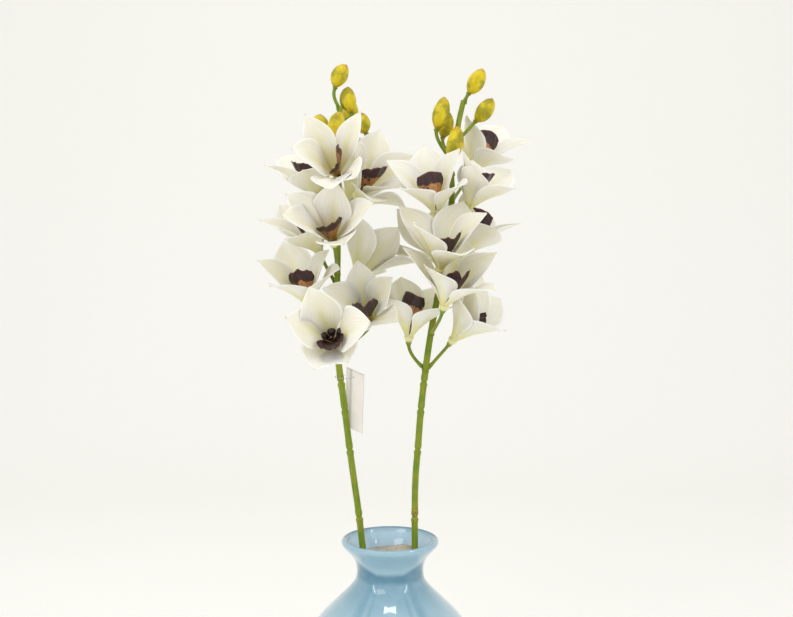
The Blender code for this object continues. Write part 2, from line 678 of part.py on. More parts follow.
def closed_loop(name):
    """A thin oval loop round the stem and through the hole of the tag."""
    points, faces = [], []
    for k in range(LOOP_STEPS):
        turn = 2 * math.pi * k / LOOP_STEPS
        outward = np.array([math.cos(turn), math.sin(turn), 0.0])
        centre = np.array(LOOP_CENTRE) * MM + outward * (LOOP_HALF_WIDTH, LOOP_HALF_DEPTH, 0.0)
        for j in range(LOOP_SIDES):
            lift = 2 * math.pi * j / LOOP_SIDES
            offset = outward * math.cos(lift) + np.array([0.0, 0.0, math.sin(lift)])
            points.append(centre + LOOP_RADIUS * offset)
    for k in range(LOOP_STEPS):
        for j in range(LOOP_SIDES):
            a, b = k * LOOP_SIDES + j, k * LOOP_SIDES + (j + 1) % LOOP_SIDES
            ahead = ((k + 1) % LOOP_STEPS - k) * LOOP_SIDES
            faces.append((a, a + ahead, b + ahead, b))
    return solid(name, points, faces, LOOP_CLEAR)


closed_loop("tag_loop")
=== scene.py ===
"""Potted orchid, visual model: two sprays of cymbidium in a pale blue glass vase.

Units are metres, +Z is up, and -Y is the front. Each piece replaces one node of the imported
model, at that node's place, with a finer mesh and a procedural material. The lips' edges, the
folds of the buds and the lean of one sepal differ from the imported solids, one lip has lobes of
its own, and the fill and the tag have no holes.
"""

import math
from collections import namedtuple

import bpy
import numpy as np
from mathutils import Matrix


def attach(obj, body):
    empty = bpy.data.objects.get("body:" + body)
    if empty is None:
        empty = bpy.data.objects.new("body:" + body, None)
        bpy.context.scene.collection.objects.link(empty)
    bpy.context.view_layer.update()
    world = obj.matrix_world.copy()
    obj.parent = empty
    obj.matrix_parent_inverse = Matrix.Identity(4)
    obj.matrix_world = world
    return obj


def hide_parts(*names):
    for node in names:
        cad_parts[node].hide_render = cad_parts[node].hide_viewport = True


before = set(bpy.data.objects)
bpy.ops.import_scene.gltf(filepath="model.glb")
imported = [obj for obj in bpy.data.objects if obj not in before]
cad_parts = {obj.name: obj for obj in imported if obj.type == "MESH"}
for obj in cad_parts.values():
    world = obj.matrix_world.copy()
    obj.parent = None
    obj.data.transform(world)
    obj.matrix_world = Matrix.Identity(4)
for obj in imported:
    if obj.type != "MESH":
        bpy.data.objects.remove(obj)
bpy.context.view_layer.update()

MM = 0.001
TAU = 2 * math.pi

# Vase: (radius, height) of the outside from the foot to the rim, then of the inside back down
VASE_OUTSIDE = [
    (0.0500, 0.0000), (0.0580, 0.0012), (0.0790, 0.0230), (0.0940, 0.0530), (0.0990, 0.0840),
    (0.0932, 0.1180), (0.0712, 0.1520), (0.0537, 0.1700), (0.0409, 0.1830), (0.0351, 0.1915),
    (0.0340, 0.1975), (0.0355, 0.2095), (0.0412, 0.2185), (0.0468, 0.2245), (0.0494, 0.2288),
]
VASE_LIP = [(0.0491, 0.2312), (0.0470, 0.2327), (0.0447, 0.2316)]
VASE_INSIDE = [
    (0.0428, 0.2282), (0.0382, 0.2220), (0.0326, 0.2118), (0.0309, 0.1975), (0.0322, 0.1930),
    (0.0379, 0.1815), (0.0514, 0.1678), (0.0684, 0.1500), (0.0902, 0.1160), (0.0960, 0.0840),
    (0.0910, 0.0540), (0.0762, 0.0248), (0.0560, 0.0050),
]
VASE_FLOOR = 0.0045
VASE_LOWEST = 0.0008
VASE_FOOT = [(0.030, 0.0022), (0.0440, 0.0018), (0.0470, 0.0), (0.0500, 0.0), (0.0540, 0.0003)]

# Fill, heaped to one side
GAP = 0.0003
FILL_FOOT = 0.0495
FILL_CLEARANCE = 0.0006
FILL_TOP = 0.2145
FILL_EDGE_RADIUS = 0.0335
FILL_HEAP = 0.0095
FILL_HEAP_AT = (0.013, 0.004)
FILL_HEAP_WIDTH = 0.021

# Stems
STEM_RADIUS = 0.0033
COLLAR_RADIUS = 0.0038
JOINT_RADIUS = 0.0026
JOINT_HEIGHTS = (0.254, 0.323, 0.364, 0.392)
STEM_FOOT = 0.012
TOP_RADIUS = 0.0026
STALK_RADIUS = 0.0017
STALK_END_RADIUS = 0.0029
STALK_REACH = 0.012
BUD_STALK_REACH = 0.010
STUB_BOTTOM = -0.0060
# Rings at a joint: how far each stands out, its middle above the joint, and its spread
JOINT_RINGS = (
    (COLLAR_RADIUS - STEM_RADIUS, -0.0022, 0.0022),
    (JOINT_RADIUS - STEM_RADIUS, 0.0006, 0.0011),
    (0.0003, 0.0052, 0.0026),
)
# Scales where stalks leave a stem
FLOWER_SCALE, BUD_SCALE = 0.008, 0.007
SCALE_THICKNESS = 0.0004
SCALE_DROP = 0.0015
SCALE_LEAST_REACH = 0.004

# Tepals: place round the flower (0 is its top), angle from its axis at base and tip
TEPALS = (
    (0, 26, 58),  # top sepal
    (72, 18, 48),  # right petal
    (144, 26, 58),  # right sepal
    (216, 26, 58),  # left sepal
    (288, 18, 48),  # left petal
)
TEPAL_LENGTH = 0.070
TEPAL_WIDTH = 0.040
TEPAL_THICKNESS = 0.0012
TEPAL_CUP = 34
TEPAL_START = 0.0035
OPENING_AT_BASE = 0.6
TEPAL_WAVE, TEPAL_ROLL, TEPAL_TIP_BEND = 0.0009, 0.0010, 0.0020
CREASE_OUTSIDE, CREASE_INSIDE = 0.0004, 0.0009
# (share of length, share of full width)
TEPAL_SHAPE = [
    (0.0, 0.14), (0.1, 0.20), (0.2, 0.34), (0.3, 0.54), (0.42, 0.82), (0.54, 0.99),
    (0.64, 0.98), (0.74, 0.84), (0.84, 0.58), (0.92, 0.31), (0.97, 0.12), (1.0, 0.02),
]

# Receptacle: (height, radius). Column: (share of length, radius), and its bow
CUP_SHAPE = [
    (STUB_BOTTOM, 0.0029), (-0.0045, 0.0031), (-0.0028, 0.0036), (-0.0012, 0.0046),
    (0.0004, 0.0050), (0.0016, 0.0042),
]
COLUMN_SHAPE = [(0, 0.0019), (0.25, 0.0015), (0.7, 0.0021), (0.86, 0.0026), (0.95, 0.0023), (1, 0.0010)]
COLUMN_LENGTH = 0.0145
COLUMN_START = (0.0012, 0.0008)
COLUMN_ARCH, COLUMN_RISE = 0.0030, 0.002

# Lip
LIP_WIDTH = 0.026
LIP_THICKNESS = 0.0012
LIP_START = (0.0032, 0.0012)
LIP_EASE = 1.6
LIP_SHAPE = [(0.0, 0.16), (0.25, 0.20), (0.42, 0.46), (0.62, 0.80), (0.82, 1.00), (1.0, 0.92)]
LIP_CUPS = [(0.0, 60), (0.4, 75), (1.0, 50)]
LIP_RUFFLES = (0.0008, 0.0004)
LIP_FLARE = 0.0016
LIP_KEEL = 0.0005

# Buds: (share of length, share of full width)
BUD_WIDTH = 0.0172
BUD_ARCH = 0.0014
BUD_SHAPE = [
    (0.0, 0.20), (0.04, 0.36), (0.12, 0.60), (0.32, 0.93), (0.55, 1.00), (0.78, 0.80),
    (0.92, 0.48), (1.0, 0.08),
]

# Hang tag and its loop
TAG_CORNER = (-44, 4.6, 407)
TAG_WIDTH = 0.018
TAG_HEIGHT = 0.060
TAG_SLANT = 0.45
TAG_DRIFT = -0.002
TAG_LEAF = 0.0004
TAG_BOW = 0.0002
TAG_PARTING = 0.0014
LOOP_CENTRE = (-45.9, 5.5, 397)
LOOP_HALF_WIDTH = 0.0099
LOOP_HALF_DEPTH = 0.0135
LOOP_RADIUS = 0.0004

Flower = namedtuple(
    "Flower",
    "heart facing opening lip swing lean length width drop",
    defaults=((0,) * 5, (0,) * 5, (1,) * 5, (1,) * 5, 32),
)
Spray = namedtuple("Spray", "route flowers buds")

# Fineness of the visible meshes
TEPAL_COLUMNS = 15
LIP_ROWS, LIP_COLUMNS = 24, 29
VASE_SIDES, VASE_STEPS, RIM_STEPS, FILL_SIDES = 128, 150, 42, 96
BUD_SIDES, STEM_SIDES, CUP_SIDES, COLUMN_SIDES, KNOB_SIDES = 36, 20, 20, 14, 16
STALK_ROWS, STALK_SIDES = 26, 12
STEM_STEP, JOINT_STEP = 0.006, 0.0007
TAG_ROWS, TAG_COLUMNS = 25, 15
LOOP_STEPS, LOOP_SIDES = 72, 8

# Reach of a lip over its length in SPRAYS, and the heights across its edge, as shares of that
# reach, from its left to its right as seen from the front of the flower
LIP_REACH = 1.10
LIP_EDGE = (0.84, 0.90, 0.92, 0.94, 0.92, 0.90, 0.84)
LIP_EDGES = {
    "lip_left_01": (0.80, 0.86, 0.90, 0.92, 0.95, 0.98, 0.98),
    "lip_left_02": (0.80, 0.88, 0.94, 0.98, 1.0, 1.0, 0.98),
    "lip_left_03": (0.98, 1.0, 0.98, 0.95, 0.92, 0.88, 0.82),
    "lip_left_05": (0.82, 0.88, 0.93, 0.97, 1.0, 1.0, 0.97),
    "lip_left_06": (0.98, 1.0, 0.97, 0.94, 0.90, 0.85, 0.80),
    "lip_left_08": (0.84, 0.92, 0.93, 1.0, 0.94, 0.94, 0.88),
    "lip_left_09": (0.82, 0.93, 0.96, 0.86, 0.97, 1.0, 0.88),
    "lip_left_10": (0.90, 0.93, 0.93, 0.95, 0.93, 0.93, 0.90),
    "lip_right_01": (0.86, 0.92, 0.95, 0.97, 0.95, 0.92, 0.86),
    "lip_right_03": (0.92, 0.95, 0.98, 1.0, 0.98, 0.95, 0.92),
    "lip_right_04": (0.94, 0.95, 0.97, 0.97, 0.97, 0.95, 0.94),
    "lip_right_06": (0.86, 0.86, 0.94, 0.88, 0.95, 0.97, 0.98),
    "lip_right_07": (0.86, 0.98, 0.98, 0.84, 0.97, 1.0, 0.86),
    "lip_right_08": (0.88, 0.98, 1.0, 0.97, 0.94, 0.92, 0.93),
    "lip_right_09": (0.97, 0.93, 0.88, 0.86, 0.90, 0.95, 0.98),
}

# Share of its pale throat that a lip keeps, where it is darker than the rest
LIP_THROATS = {
    "lip_left_06": 0.5, "lip_left_09": 0.45, "lip_left_10": 0.2, "lip_right_04": 0.3,
    "lip_right_06": 0.4, "lip_right_07": 0.7, "lip_right_09": 0.5,
}

# Round lobes that stand behind a lip, in mm to its right, up and ahead of its heart
LIP_KNOBS = {"lip_left_10": ((-8, 3, 15), (1, 7, 15), (10, 5, 15))}
KNOB_REACH = 1.2
DARK_COLUMN = "flower_left_10"
KNOB_SHAPE = [(0, 0.8), (0.45, 1.4), (0.62, 3.4), (0.8, 4.4), (0.94, 3.0), (1, 0.4)]

# Studio: lights are (place, target, size, power)
FLOOR_FRONT, FLOOR_BACK, FLOOR_SIDE, WALL_TOP, SWEEP_RADIUS = -4.0, 1.2, 4.0, 4.0, 0.8
MIDDLE, NECK = (0.0, 0.0, 0.5), (0.0, 0.0, 0.35)
LIGHTS = {
    "key_light": ((-1.1, -1.7, 1.9), MIDDLE, (1.1, 1.1), 9.6),
    "fill_light": ((1.6, -1.5, 1.2), MIDDLE, (1.2, 1.2), 2.6),
    "top_light": ((0.0, 0.2, 2.2), MIDDLE, (1.4, 1.4), 4.0),
    "left_strip": ((-1.25, -0.85, 0.95), NECK, (0.06, 1.3), 3.0),
    "right_strip": ((1.25, -0.85, 0.95), NECK, (0.06, 1.3), 3.0),
    "high_window": ((0.0, -0.53, 1.9), NECK, (0.56, 0.08), 1.8),
}
WORLD_COLOUR, WORLD_STRENGTH = (0.98, 0.98, 0.97, 1.0), 0.825
CAMERA_PLACE, CAMERA_PITCH, CAMERA_LENS = (0.0065, -1.150, 0.5470), 86, 52.2

# The sprays, in millimetres and degrees, as part.py has them but for the third lean of the first
# flower. Programs made most values of the flowers: a fit to points read off the photograph, a
# random search that moved the flowers apart, and rounding. A program also turned the routes and
# the buds, read off the photograph as points, into millimetres. Some were changed.
# A heart is where the tepals meet. A flower faces (azimuth, elevation, roll) and opens by the
# angle after it. A lip has its turn, its angle at foot and tip, and its length. Swing moves a
# tepal round the flower and lean opens it further, length and width are shares of the full
# size, and all four go in the order of TEPALS. Its stalk leaves the stem the drop below its
# heart. A bud has its base, its tip and the height at which its stalk leaves the stem.
LEFT_ROUTE = [
    (-6, 0, 12), (-13, 0, 100), (-24, 0, 197), (-28, 0, 224), (-31, 0, 251),
    (-40, 0, 318), (-47, 0, 374), (-52, 0, 415), (-53, 0, 475), (-52, 0, 535),
    (-52, 0, 595), (-51, 0, 654), (-49, 0, 668),
]
LEFT_FLOWERS = [
    Flower((-50, -35, 596), (-9, 29, 31), -4, lip=(-50, 12, 5, 37),
           swing=(-5, -5, 25, -15, 0), lean=(-5, 10, 0, 0, -5),
           length=(1, 1, 1, 1.05, 1), width=(0.75, 0.65, 1, 1, 0.95)),
    Flower((-33, 6, 579), (36, 37, -11), -1, lip=(-5, 10, -20, 44),
           swing=(15, -5, 10, -15, 0), lean=(10, 10, -10, 5, -5)),
    Flower((-72, 32, 575), (-51, 65, 16), 9, lip=(0, 15, 0, 44),
           swing=(-5, -5, 0, -10, 5), lean=(5, -5, 0, -15, 5),
           length=(1, 0.95, 1, 1, 1)),
    Flower((-46, 42, 570), (135, 48, 11), 2, lip=(0, 4, 10, 42),
           swing=(-10, 0, -5, -5, 0), lean=(0, 15, -5, 5, -5),
           length=(1.05, 0.9, 1, 1, 1)),
    Flower((-54, -46, 533), (-7, 38, -14), -8, lip=(-35, 14, 0, 37),
           swing=(0, 5, -5, 15, -15), lean=(-10, 10, 5, -5, 5),
           length=(0.9, 1.05, 1, 1.05, 1)),
    Flower((-70, 5, 521), (-44, 59, -1), 1, lip=(-20, 10, -10, 40),
           swing=(0, -5, -5, 0, 0), lean=(-5, -5, 5, -10, 15),
           length=(0.95, 1, 1, 1, 1), width=(1, 0.95, 1, 1, 1)),
    Flower((-35, 21, 493), (133, 54, 10), 4, lip=(0, 4, 10, 42),
           swing=(-5, 5, 0, 0, 10), lean=(0, 0, 5, -5, -5),
           width=(1, 0.9, 1, 1, 0.95)),
    Flower((-81, -2, 470), (-23, 58, 35), -4, lip=(20, 10, -25, 40),
           swing=(-5, 20, -10, 5, 0), lean=(5, 0, 5, 0, 0),
           length=(1, 0.9, 1, 1.05, 1), width=(1, 1, 1, 1, 0.95)),
    Flower((-21, -3, 454), (-7, 36, 8), 0, lip=(0, 12, -14, 40),
           swing=(-5, -5, -5, 5, -5), lean=(-5, -5, 0, 5, 0),
           length=(0.9, 0.9, 0.95, 0.8, 0.95), width=(0.85, 0.9, 0.8, 1, 0.95)),
    Flower((-53, -64, 439), (-7, 23, 9), 3, lip=(-10, 12, 45, 35),
           swing=(-15, 25, 10, -10, 0), lean=(-15, 0, 5, 5, -5),
           length=(1, 1, 0.6, 0.65, 0.95), width=(1, 1.1, 1, 1.05, 1), drop=16),
]
LEFT_BUDS = [
    ((-54, 0, 686), (-43, 0, 708), 665), ((-38, 4, 662), (-42, 5, 687), 655),
    ((-51, -31, 633), (-48, -31, 659), 606), ((-37, 24, 655), (-40, 25, 677), 646),
    ((-24, 12, 642), (-28, 12, 662), 625), ((-68, 24, 645), (-71, 26, 662), 636),
]
RIGHT_ROUTE = [
    (12, 0, 12), (17, 0, 100), (23.6, 0, 197), (25, 0, 224), (25, 0, 251),
    (26, 0, 299), (28, 0, 324), (31, 0, 364), (34, 0, 392), (36, 0, 408),
    (41, 0, 442), (52, 0, 502), (58, 0, 545), (62, 0, 585), (61, 0, 610),
    (65, 0, 632), (69, 0, 656), (73, 0, 673),
]
RIGHT_FLOWERS = [
    Flower((83, 49, 605), (58, 59, -7), 9, lip=(45, 5, -20, 44),
           swing=(5, -5, -5, -5, -5), lean=(10, 5, -15, 5, -5),
           length=(1, 1, 1, 1, 0.95)),
    Flower((75, -31, 565), (49, 62, 45), -1, lip=(45, 10, 5, 42),
           swing=(-20, 0, -20, 25, 10), lean=(-15, 0, 15, 5, 0),
           length=(0.9, 0.7, 1, 1, 0.85), width=(0.9, 0.95, 1, 0.75, 0.8)),
    Flower((45, -30, 561), (-21, 61, 22), 1, lip=(-5, 10, -25, 41),
           swing=(0, 0, 0, -5, 5), lean=(0, -5, 5, 0, 0),
           length=(1, 0.95, 1, 1.05, 1), width=(1, 1, 0.85, 0.85, 1)),
    Flower((68, 6, 517), (84, 60, -29), -3, lip=(45, 5, -10, 50),
           swing=(5, -10, 0, 5, 0), lean=(10, 10, -10, 10, 0),
           length=(1, 1.05, 1, 1, 0.95)),
    Flower((52, 27, 511), (214, 54, -10), -9, lip=(-15, 4, 10, 42),
           swing=(15, -10, -5, 0, 5), lean=(15, 5, 15, 10, 0),
           length=(0.8, 1, 1, 1, 1), width=(1, 1, 1.05, 0.95, 1.05)),
    Flower((48, -57, 508), (12, 62, -27), 8, lip=(-40, 20, 5, 42),
           swing=(5, -10, 5, 0, 5), lean=(-5, -10, 0, -15, 10)),
    Flower((52, -53, 473), (25, 62, -20), 1, lip=(-25, 25, 0, 44),
           swing=(15, 0, 0, 5, -10), lean=(5, 0, 5, -5, 10),
           length=(1.05, 1, 1.05, 1, 1), width=(0.95, 1, 1, 0.95, 0.9)),
    Flower((19, 5, 437), (22, 84, -9), 6, lip=(40, 5, -30, 42),
           swing=(0, -25, 10, 10, 0), lean=(-10, 10, 10, -5, 0),
           length=(1, 1, 1.05, 0.9, 1.05), width=(0.95, 0.9, 0.95, 0.75, 0.9)),
    Flower((63, -1, 435), (59, 48, 32), 0, lip=(5, 20, 10, 37),
           swing=(-30, 5, -30, 20, 30), lean=(-20, 0, 10, -5, 5),
           length=(1.05, 1, 1.05, 1, 1), width=(1, 1, 1.05, 1, 0.95)),
]
RIGHT_BUDS = [
    ((78, 0, 680), (92, 0, 704), 671), ((85, 2, 653), (102, 2, 675), 632),
    ((46, -6, 644), (54, -6, 676), 614), ((53, 16, 638), (57, 18, 665), 618),
    ((59, -22, 613), (66, -23, 646), 600),
]
SPRAYS = {
    "left": Spray(LEFT_ROUTE, LEFT_FLOWERS, LEFT_BUDS),
    "right": Spray(RIGHT_ROUTE, RIGHT_FLOWERS, RIGHT_BUDS),
}


# ---- node helpers


class Look:
    """A material being put together: each method adds a node and returns its output socket."""

    def __init__(self, name, roughness, **numbers):
        self.material = bpy.data.materials.new(name)
        self.material.use_nodes = True
        self.tree = self.material.node_tree
        self.shader = self.tree.nodes["Principled BSDF"]
        self.shader.inputs["Roughness"].default_value = roughness
        for socket, value in numbers.items():
            self.shader.inputs[socket.replace("_", " ")].default_value = value

    def node(self, kind, output=0, settings=(), **inputs):
        made = self.tree.nodes.new("ShaderNode" + kind)
        for key, value in dict(settings).items():
            setattr(made, key, value)
        for key, value in inputs.items():
            socket = made.inputs[int(key[1:])] if key[1:].isdigit() else made.inputs[key.replace("_", " ")]
            if isinstance(value, bpy.types.NodeSocket):
                self.tree.links.new(value, socket)
            else:
                socket.default_value = value
        return made.outputs[output]

    def maths(self, operation, first, second=0.0):
        return self.node("Math", settings={"operation": operation}, i0=first, i1=second)

    def times(self, first, second):
        return self.maths("MULTIPLY", first, second)

    def plus(self, first, second):
        return self.maths("ADD", first, second)

    def minus(self, first, second):
        return self.maths("SUBTRACT", first, second)

    def most(self, first, second):
        return self.maths("MAXIMUM", first, second)

    def ramp(self, value, low, high, bottom=0.0, top=1.0):
        """A smooth step of value between low and high."""
        settings = {"interpolation_type": "SMOOTHSTEP"}
        return self.node(
            "MapRange", settings=settings, i0=value, i1=low, i2=high, i3=bottom, i4=top
        )

    def band(self, value, low, high, after, end):
        """Rises from low to high and falls again from after to end."""
        return self.times(self.ramp(value, low, high), self.ramp(value, after, end, 1.0, 0.0))

    def fade(self, value, low, high, first, second):
        """First where value is under low, second where it is over high."""
        return self.mix(self.ramp(value, low, high), first, second)

    def mix(self, share, first, second):
        """A colour between first and second."""
        made = self.tree.nodes.new("ShaderNodeMix")
        made.data_type = "RGBA"
        for index, value in ((0, share), (6, first), (7, second)):
            if isinstance(value, bpy.types.NodeSocket):
                self.tree.links.new(value, made.inputs[index])
            elif index == 0:
                made.inputs[index].default_value = value
            else:
                made.inputs[index].default_value = (*value, 1.0)
        return made.outputs[2]

    def noise(self, places, scale, detail=3.0, roughness=0.55, distortion=0.0):
        return self.node(
            "TexNoise", Vector=places, Scale=scale, Detail=detail, Roughness=roughness,
            Distortion=distortion,
        )

    def cells(self, places, scale=1.0, randomness=1.0, output=0):
        """Distance to the nearest of scattered points or, at output 1, a colour for each point."""
        return self.node("TexVoronoi", output, Vector=places, Scale=scale, Randomness=randomness)

    def places(self):
        """Places on the object, in metres."""
        return self.node("TexCoord", output=3)

    def split(self, vector):
        """The three numbers of a vector, as sockets."""
        made = self.tree.nodes.new("ShaderNodeSeparateXYZ")
        self.tree.links.new(vector, made.inputs[0])
        return made.outputs

    def blade(self):
        """A piece's own map: the pair, then how far across and how far along, as sockets."""
        pair = self.node("UVMap", settings={"uv_map": "Blade"})
        across, along, _ = self.split(pair)
        return pair, across, along

    def stretched(self, places, scale):
        return self.node("VectorMath", settings={"operation": "MULTIPLY"}, i0=places, i1=scale)

    def colour(self, socket):
        self.tree.links.new(socket, self.shader.inputs["Base Color"])

    def gloss(self, socket):
        self.tree.links.new(socket, self.shader.inputs["Roughness"])

    def bump(self, height, strength, distance):
        made = self.node("Bump", Strength=strength, Distance=distance, Height=height)
        self.tree.links.new(made, self.shader.inputs["Normal"])


def rgb(red, green, blue):
    """A linear colour from display values of 0 to 255."""
    return tuple(
        (value / 255 / 12.92) if value < 10.4 else ((value / 255 + 0.055) / 1.055) ** 2.4
        for value in (red, green, blue)
    )


# ---- materials


def petal_look():
    look = Look(
        "petal_cream", 0.46, Specular_IOR_Level=0.35, Sheen_Weight=0.06, Subsurface_Weight=0.35,
        Subsurface_Radius=(1.0, 0.95, 0.7), Subsurface_Scale=0.004,
    )
    pair, across, along = look.blade()
    from_middle = look.maths("ABSOLUTE", look.minus(across, 0.5))
    mottle = look.noise(look.places(), 95.0, 3.0)
    wide = look.noise(look.places(), 22.0, 2.0)
    # Fine veins run the length of a tepal and fan out with its width
    vein_places = look.stretched(pair, (34.0, 1.6, 1.0))
    veins = look.noise(vein_places, 1.0, 2.0, 0.5, 0.25)
    cream = look.fade(wide, 0.35, 0.68, rgb(243, 240, 231), rgb(235, 231, 214))
    veined = look.mix(look.ramp(veins, 0.48, 0.70, 0.0, 0.42), cream, rgb(218, 213, 174))
    base = look.ramp(along, 0.02, 0.52, 1.0, 0.0)
    streak = look.ramp(from_middle, 0.0, 0.21, 1.0, 0.0)
    streak = look.times(streak, look.ramp(along, 0.25, 0.95, 0.62, 0.0))
    flush = look.most(look.times(base, 0.92), streak)
    flush = look.times(flush, look.ramp(mottle, 0.2, 0.62, 0.55, 1.0))
    tinted = look.mix(flush, veined, rgb(222, 214, 112))
    # Painted highlight: the tepals' edges are painted near white, as light catching them
    rim = look.ramp(from_middle, 0.42, 0.48, 0.0, 0.95)
    look.colour(look.mix(rim, tinted, rgb(253, 252, 248)))
    relief = look.plus(look.times(veins, 0.7), look.times(mottle, 0.5))
    look.bump(relief, 0.35, 0.0006)
    look.gloss(look.ramp(mottle, 0.3, 0.7, 0.40, 0.56))
    return look.material


def lip_look():
    look = Look("lip_maroon", 0.32, Specular_IOR_Level=0.5, Coat_Weight=0.15, Coat_Roughness=0.25)
    pair, _, along = look.blade()
    drift = look.noise(look.places(), 130.0, 3.0)
    level = look.plus(along, look.times(look.minus(drift, 0.5), 0.34))
    streaks = look.noise(look.stretched(pair, (26.0, 2.2, 1.0)), 1.0, 3.0, 0.6, 0.4)
    dark = look.fade(streaks, 0.44, 0.70, rgb(42, 23, 30), rgb(78, 36, 44))
    tan = look.fade(streaks, 0.35, 0.7, rgb(170, 112, 66), rgb(200, 148, 96))
    # Round dark blotches over the tan throat
    wide = look.cells(look.stretched(pair, (6.5, 8.0, 1.0)), randomness=0.85)
    blotches = look.ramp(wide, 0.27, 0.38, 1.0, 0.0)
    small = look.cells(look.stretched(pair, (15.0, 18.0, 1.0)))
    specks = look.ramp(small, 0.16, 0.26, 0.7, 0.0)
    spots = look.most(blotches, specks)
    throat = look.mix(spots, tan, rgb(38, 30, 34))
    upper = look.ramp(level, 0.69, 0.75)
    shown = look.mix(upper, throat, dark)
    foot = look.ramp(along, 0.10, 0.26, 1.0, 0.0)
    shown = look.mix(foot, shown, rgb(60, 34, 30))
    rim = look.ramp(along, 0.95, 1.0, 0.0, 0.6)
    look.colour(look.mix(rim, shown, rgb(132, 66, 68)))
    look.bump(streaks, 0.5, 0.0008)
    look.gloss(look.ramp(drift, 0.3, 0.7, 0.26, 0.42))
    return look.material


def column_look():
    look = Look("column_pale", 0.38, Specular_IOR_Level=0.4)
    _, _, along = look.blade()
    drift = look.noise(look.places(), 260.0, 3.0)
    shown = look.fade(along, 0.1, 0.8, rgb(226, 214, 130), rgb(240, 233, 200))
    look.colour(look.mix(look.ramp(drift, 0.5, 0.68, 0.0, 0.6), shown, rgb(150, 78, 60)))
    look.bump(drift, 0.3, 0.0004)
    return look.material


def receptacle_look():
    look = Look("receptacle_green", 0.5)
    drift = look.noise(look.places(), 220.0, 3.0)
    _, _, along = look.blade()
    pale = look.fade(drift, 0.35, 0.65, rgb(224, 219, 150), rgb(234, 230, 182))
    look.colour(look.mix(look.ramp(along, 0.12, 0.42, 1.0, 0.0), pale, rgb(146, 152, 44)))
    look.bump(drift, 0.3, 0.0004)
    return look.material


def bud_look():
    look = Look("bud_yellow", 0.42, Specular_IOR_Level=0.4)
    pair, across, along = look.blade()
    places = look.places()
    wide = look.noise(places, 70.0, 3.0)
    fine = look.noise(places, 320.0, 2.0)
    streaks = look.noise(look.stretched(pair, (14.0, 1.4, 1.0)), 1.0, 3.0, 0.6, 0.3)
    yellow = look.fade(streaks, 0.36, 0.66, rgb(222, 198, 10), rgb(198, 180, 8))
    olive = look.mix(look.ramp(wide, 0.42, 0.60, 0.0, 0.85), yellow, rgb(140, 136, 4))
    # Warm brown gathers at both ends and along the three seams
    seam = look.maths("PINGPONG", look.times(across, 3.0), 0.5)
    seam = look.ramp(seam, 0.0, 0.10, 0.8, 0.0)
    tip = look.ramp(along, 0.80, 0.99, 0.0, 0.8)
    foot = look.ramp(along, 0.02, 0.16, 0.65, 0.0)
    warm = look.most(look.most(tip, foot), look.times(seam, wide))
    warm = look.times(warm, look.ramp(fine, 0.35, 0.62, 0.25, 1.0))
    look.colour(look.mix(warm, olive, rgb(160, 96, 24)))
    look.bump(look.plus(streaks, look.times(fine, 0.4)), 0.4, 0.0006)
    look.gloss(look.ramp(wide, 0.3, 0.7, 0.34, 0.52))
    return look.material


def stem_look():
    look = Look("stem_green", 0.44, Specular_IOR_Level=0.4)
    places = look.places()
    fibre = look.noise(look.stretched(places, (620.0, 620.0, 26.0)), 1.0, 3.0)
    wide = look.noise(places, 48.0, 3.0)
    fine = look.noise(places, 420.0, 2.0)
    green = look.fade(wide, 0.34, 0.66, rgb(108, 134, 6), rgb(138, 150, 22))
    green = look.mix(look.ramp(fibre, 0.40, 0.68, 0.0, 0.55), green, rgb(98, 110, 10))
    scars = look.times(look.ramp(wide, 0.60, 0.72), look.ramp(fine, 0.48, 0.6))
    look.colour(look.mix(scars, green, rgb(132, 88, 44)))
    look.bump(look.plus(fibre, look.times(fine, 0.3)), 0.5, 0.0006)
    look.gloss(look.ramp(fibre, 0.3, 0.7, 0.36, 0.54))
    return look.material


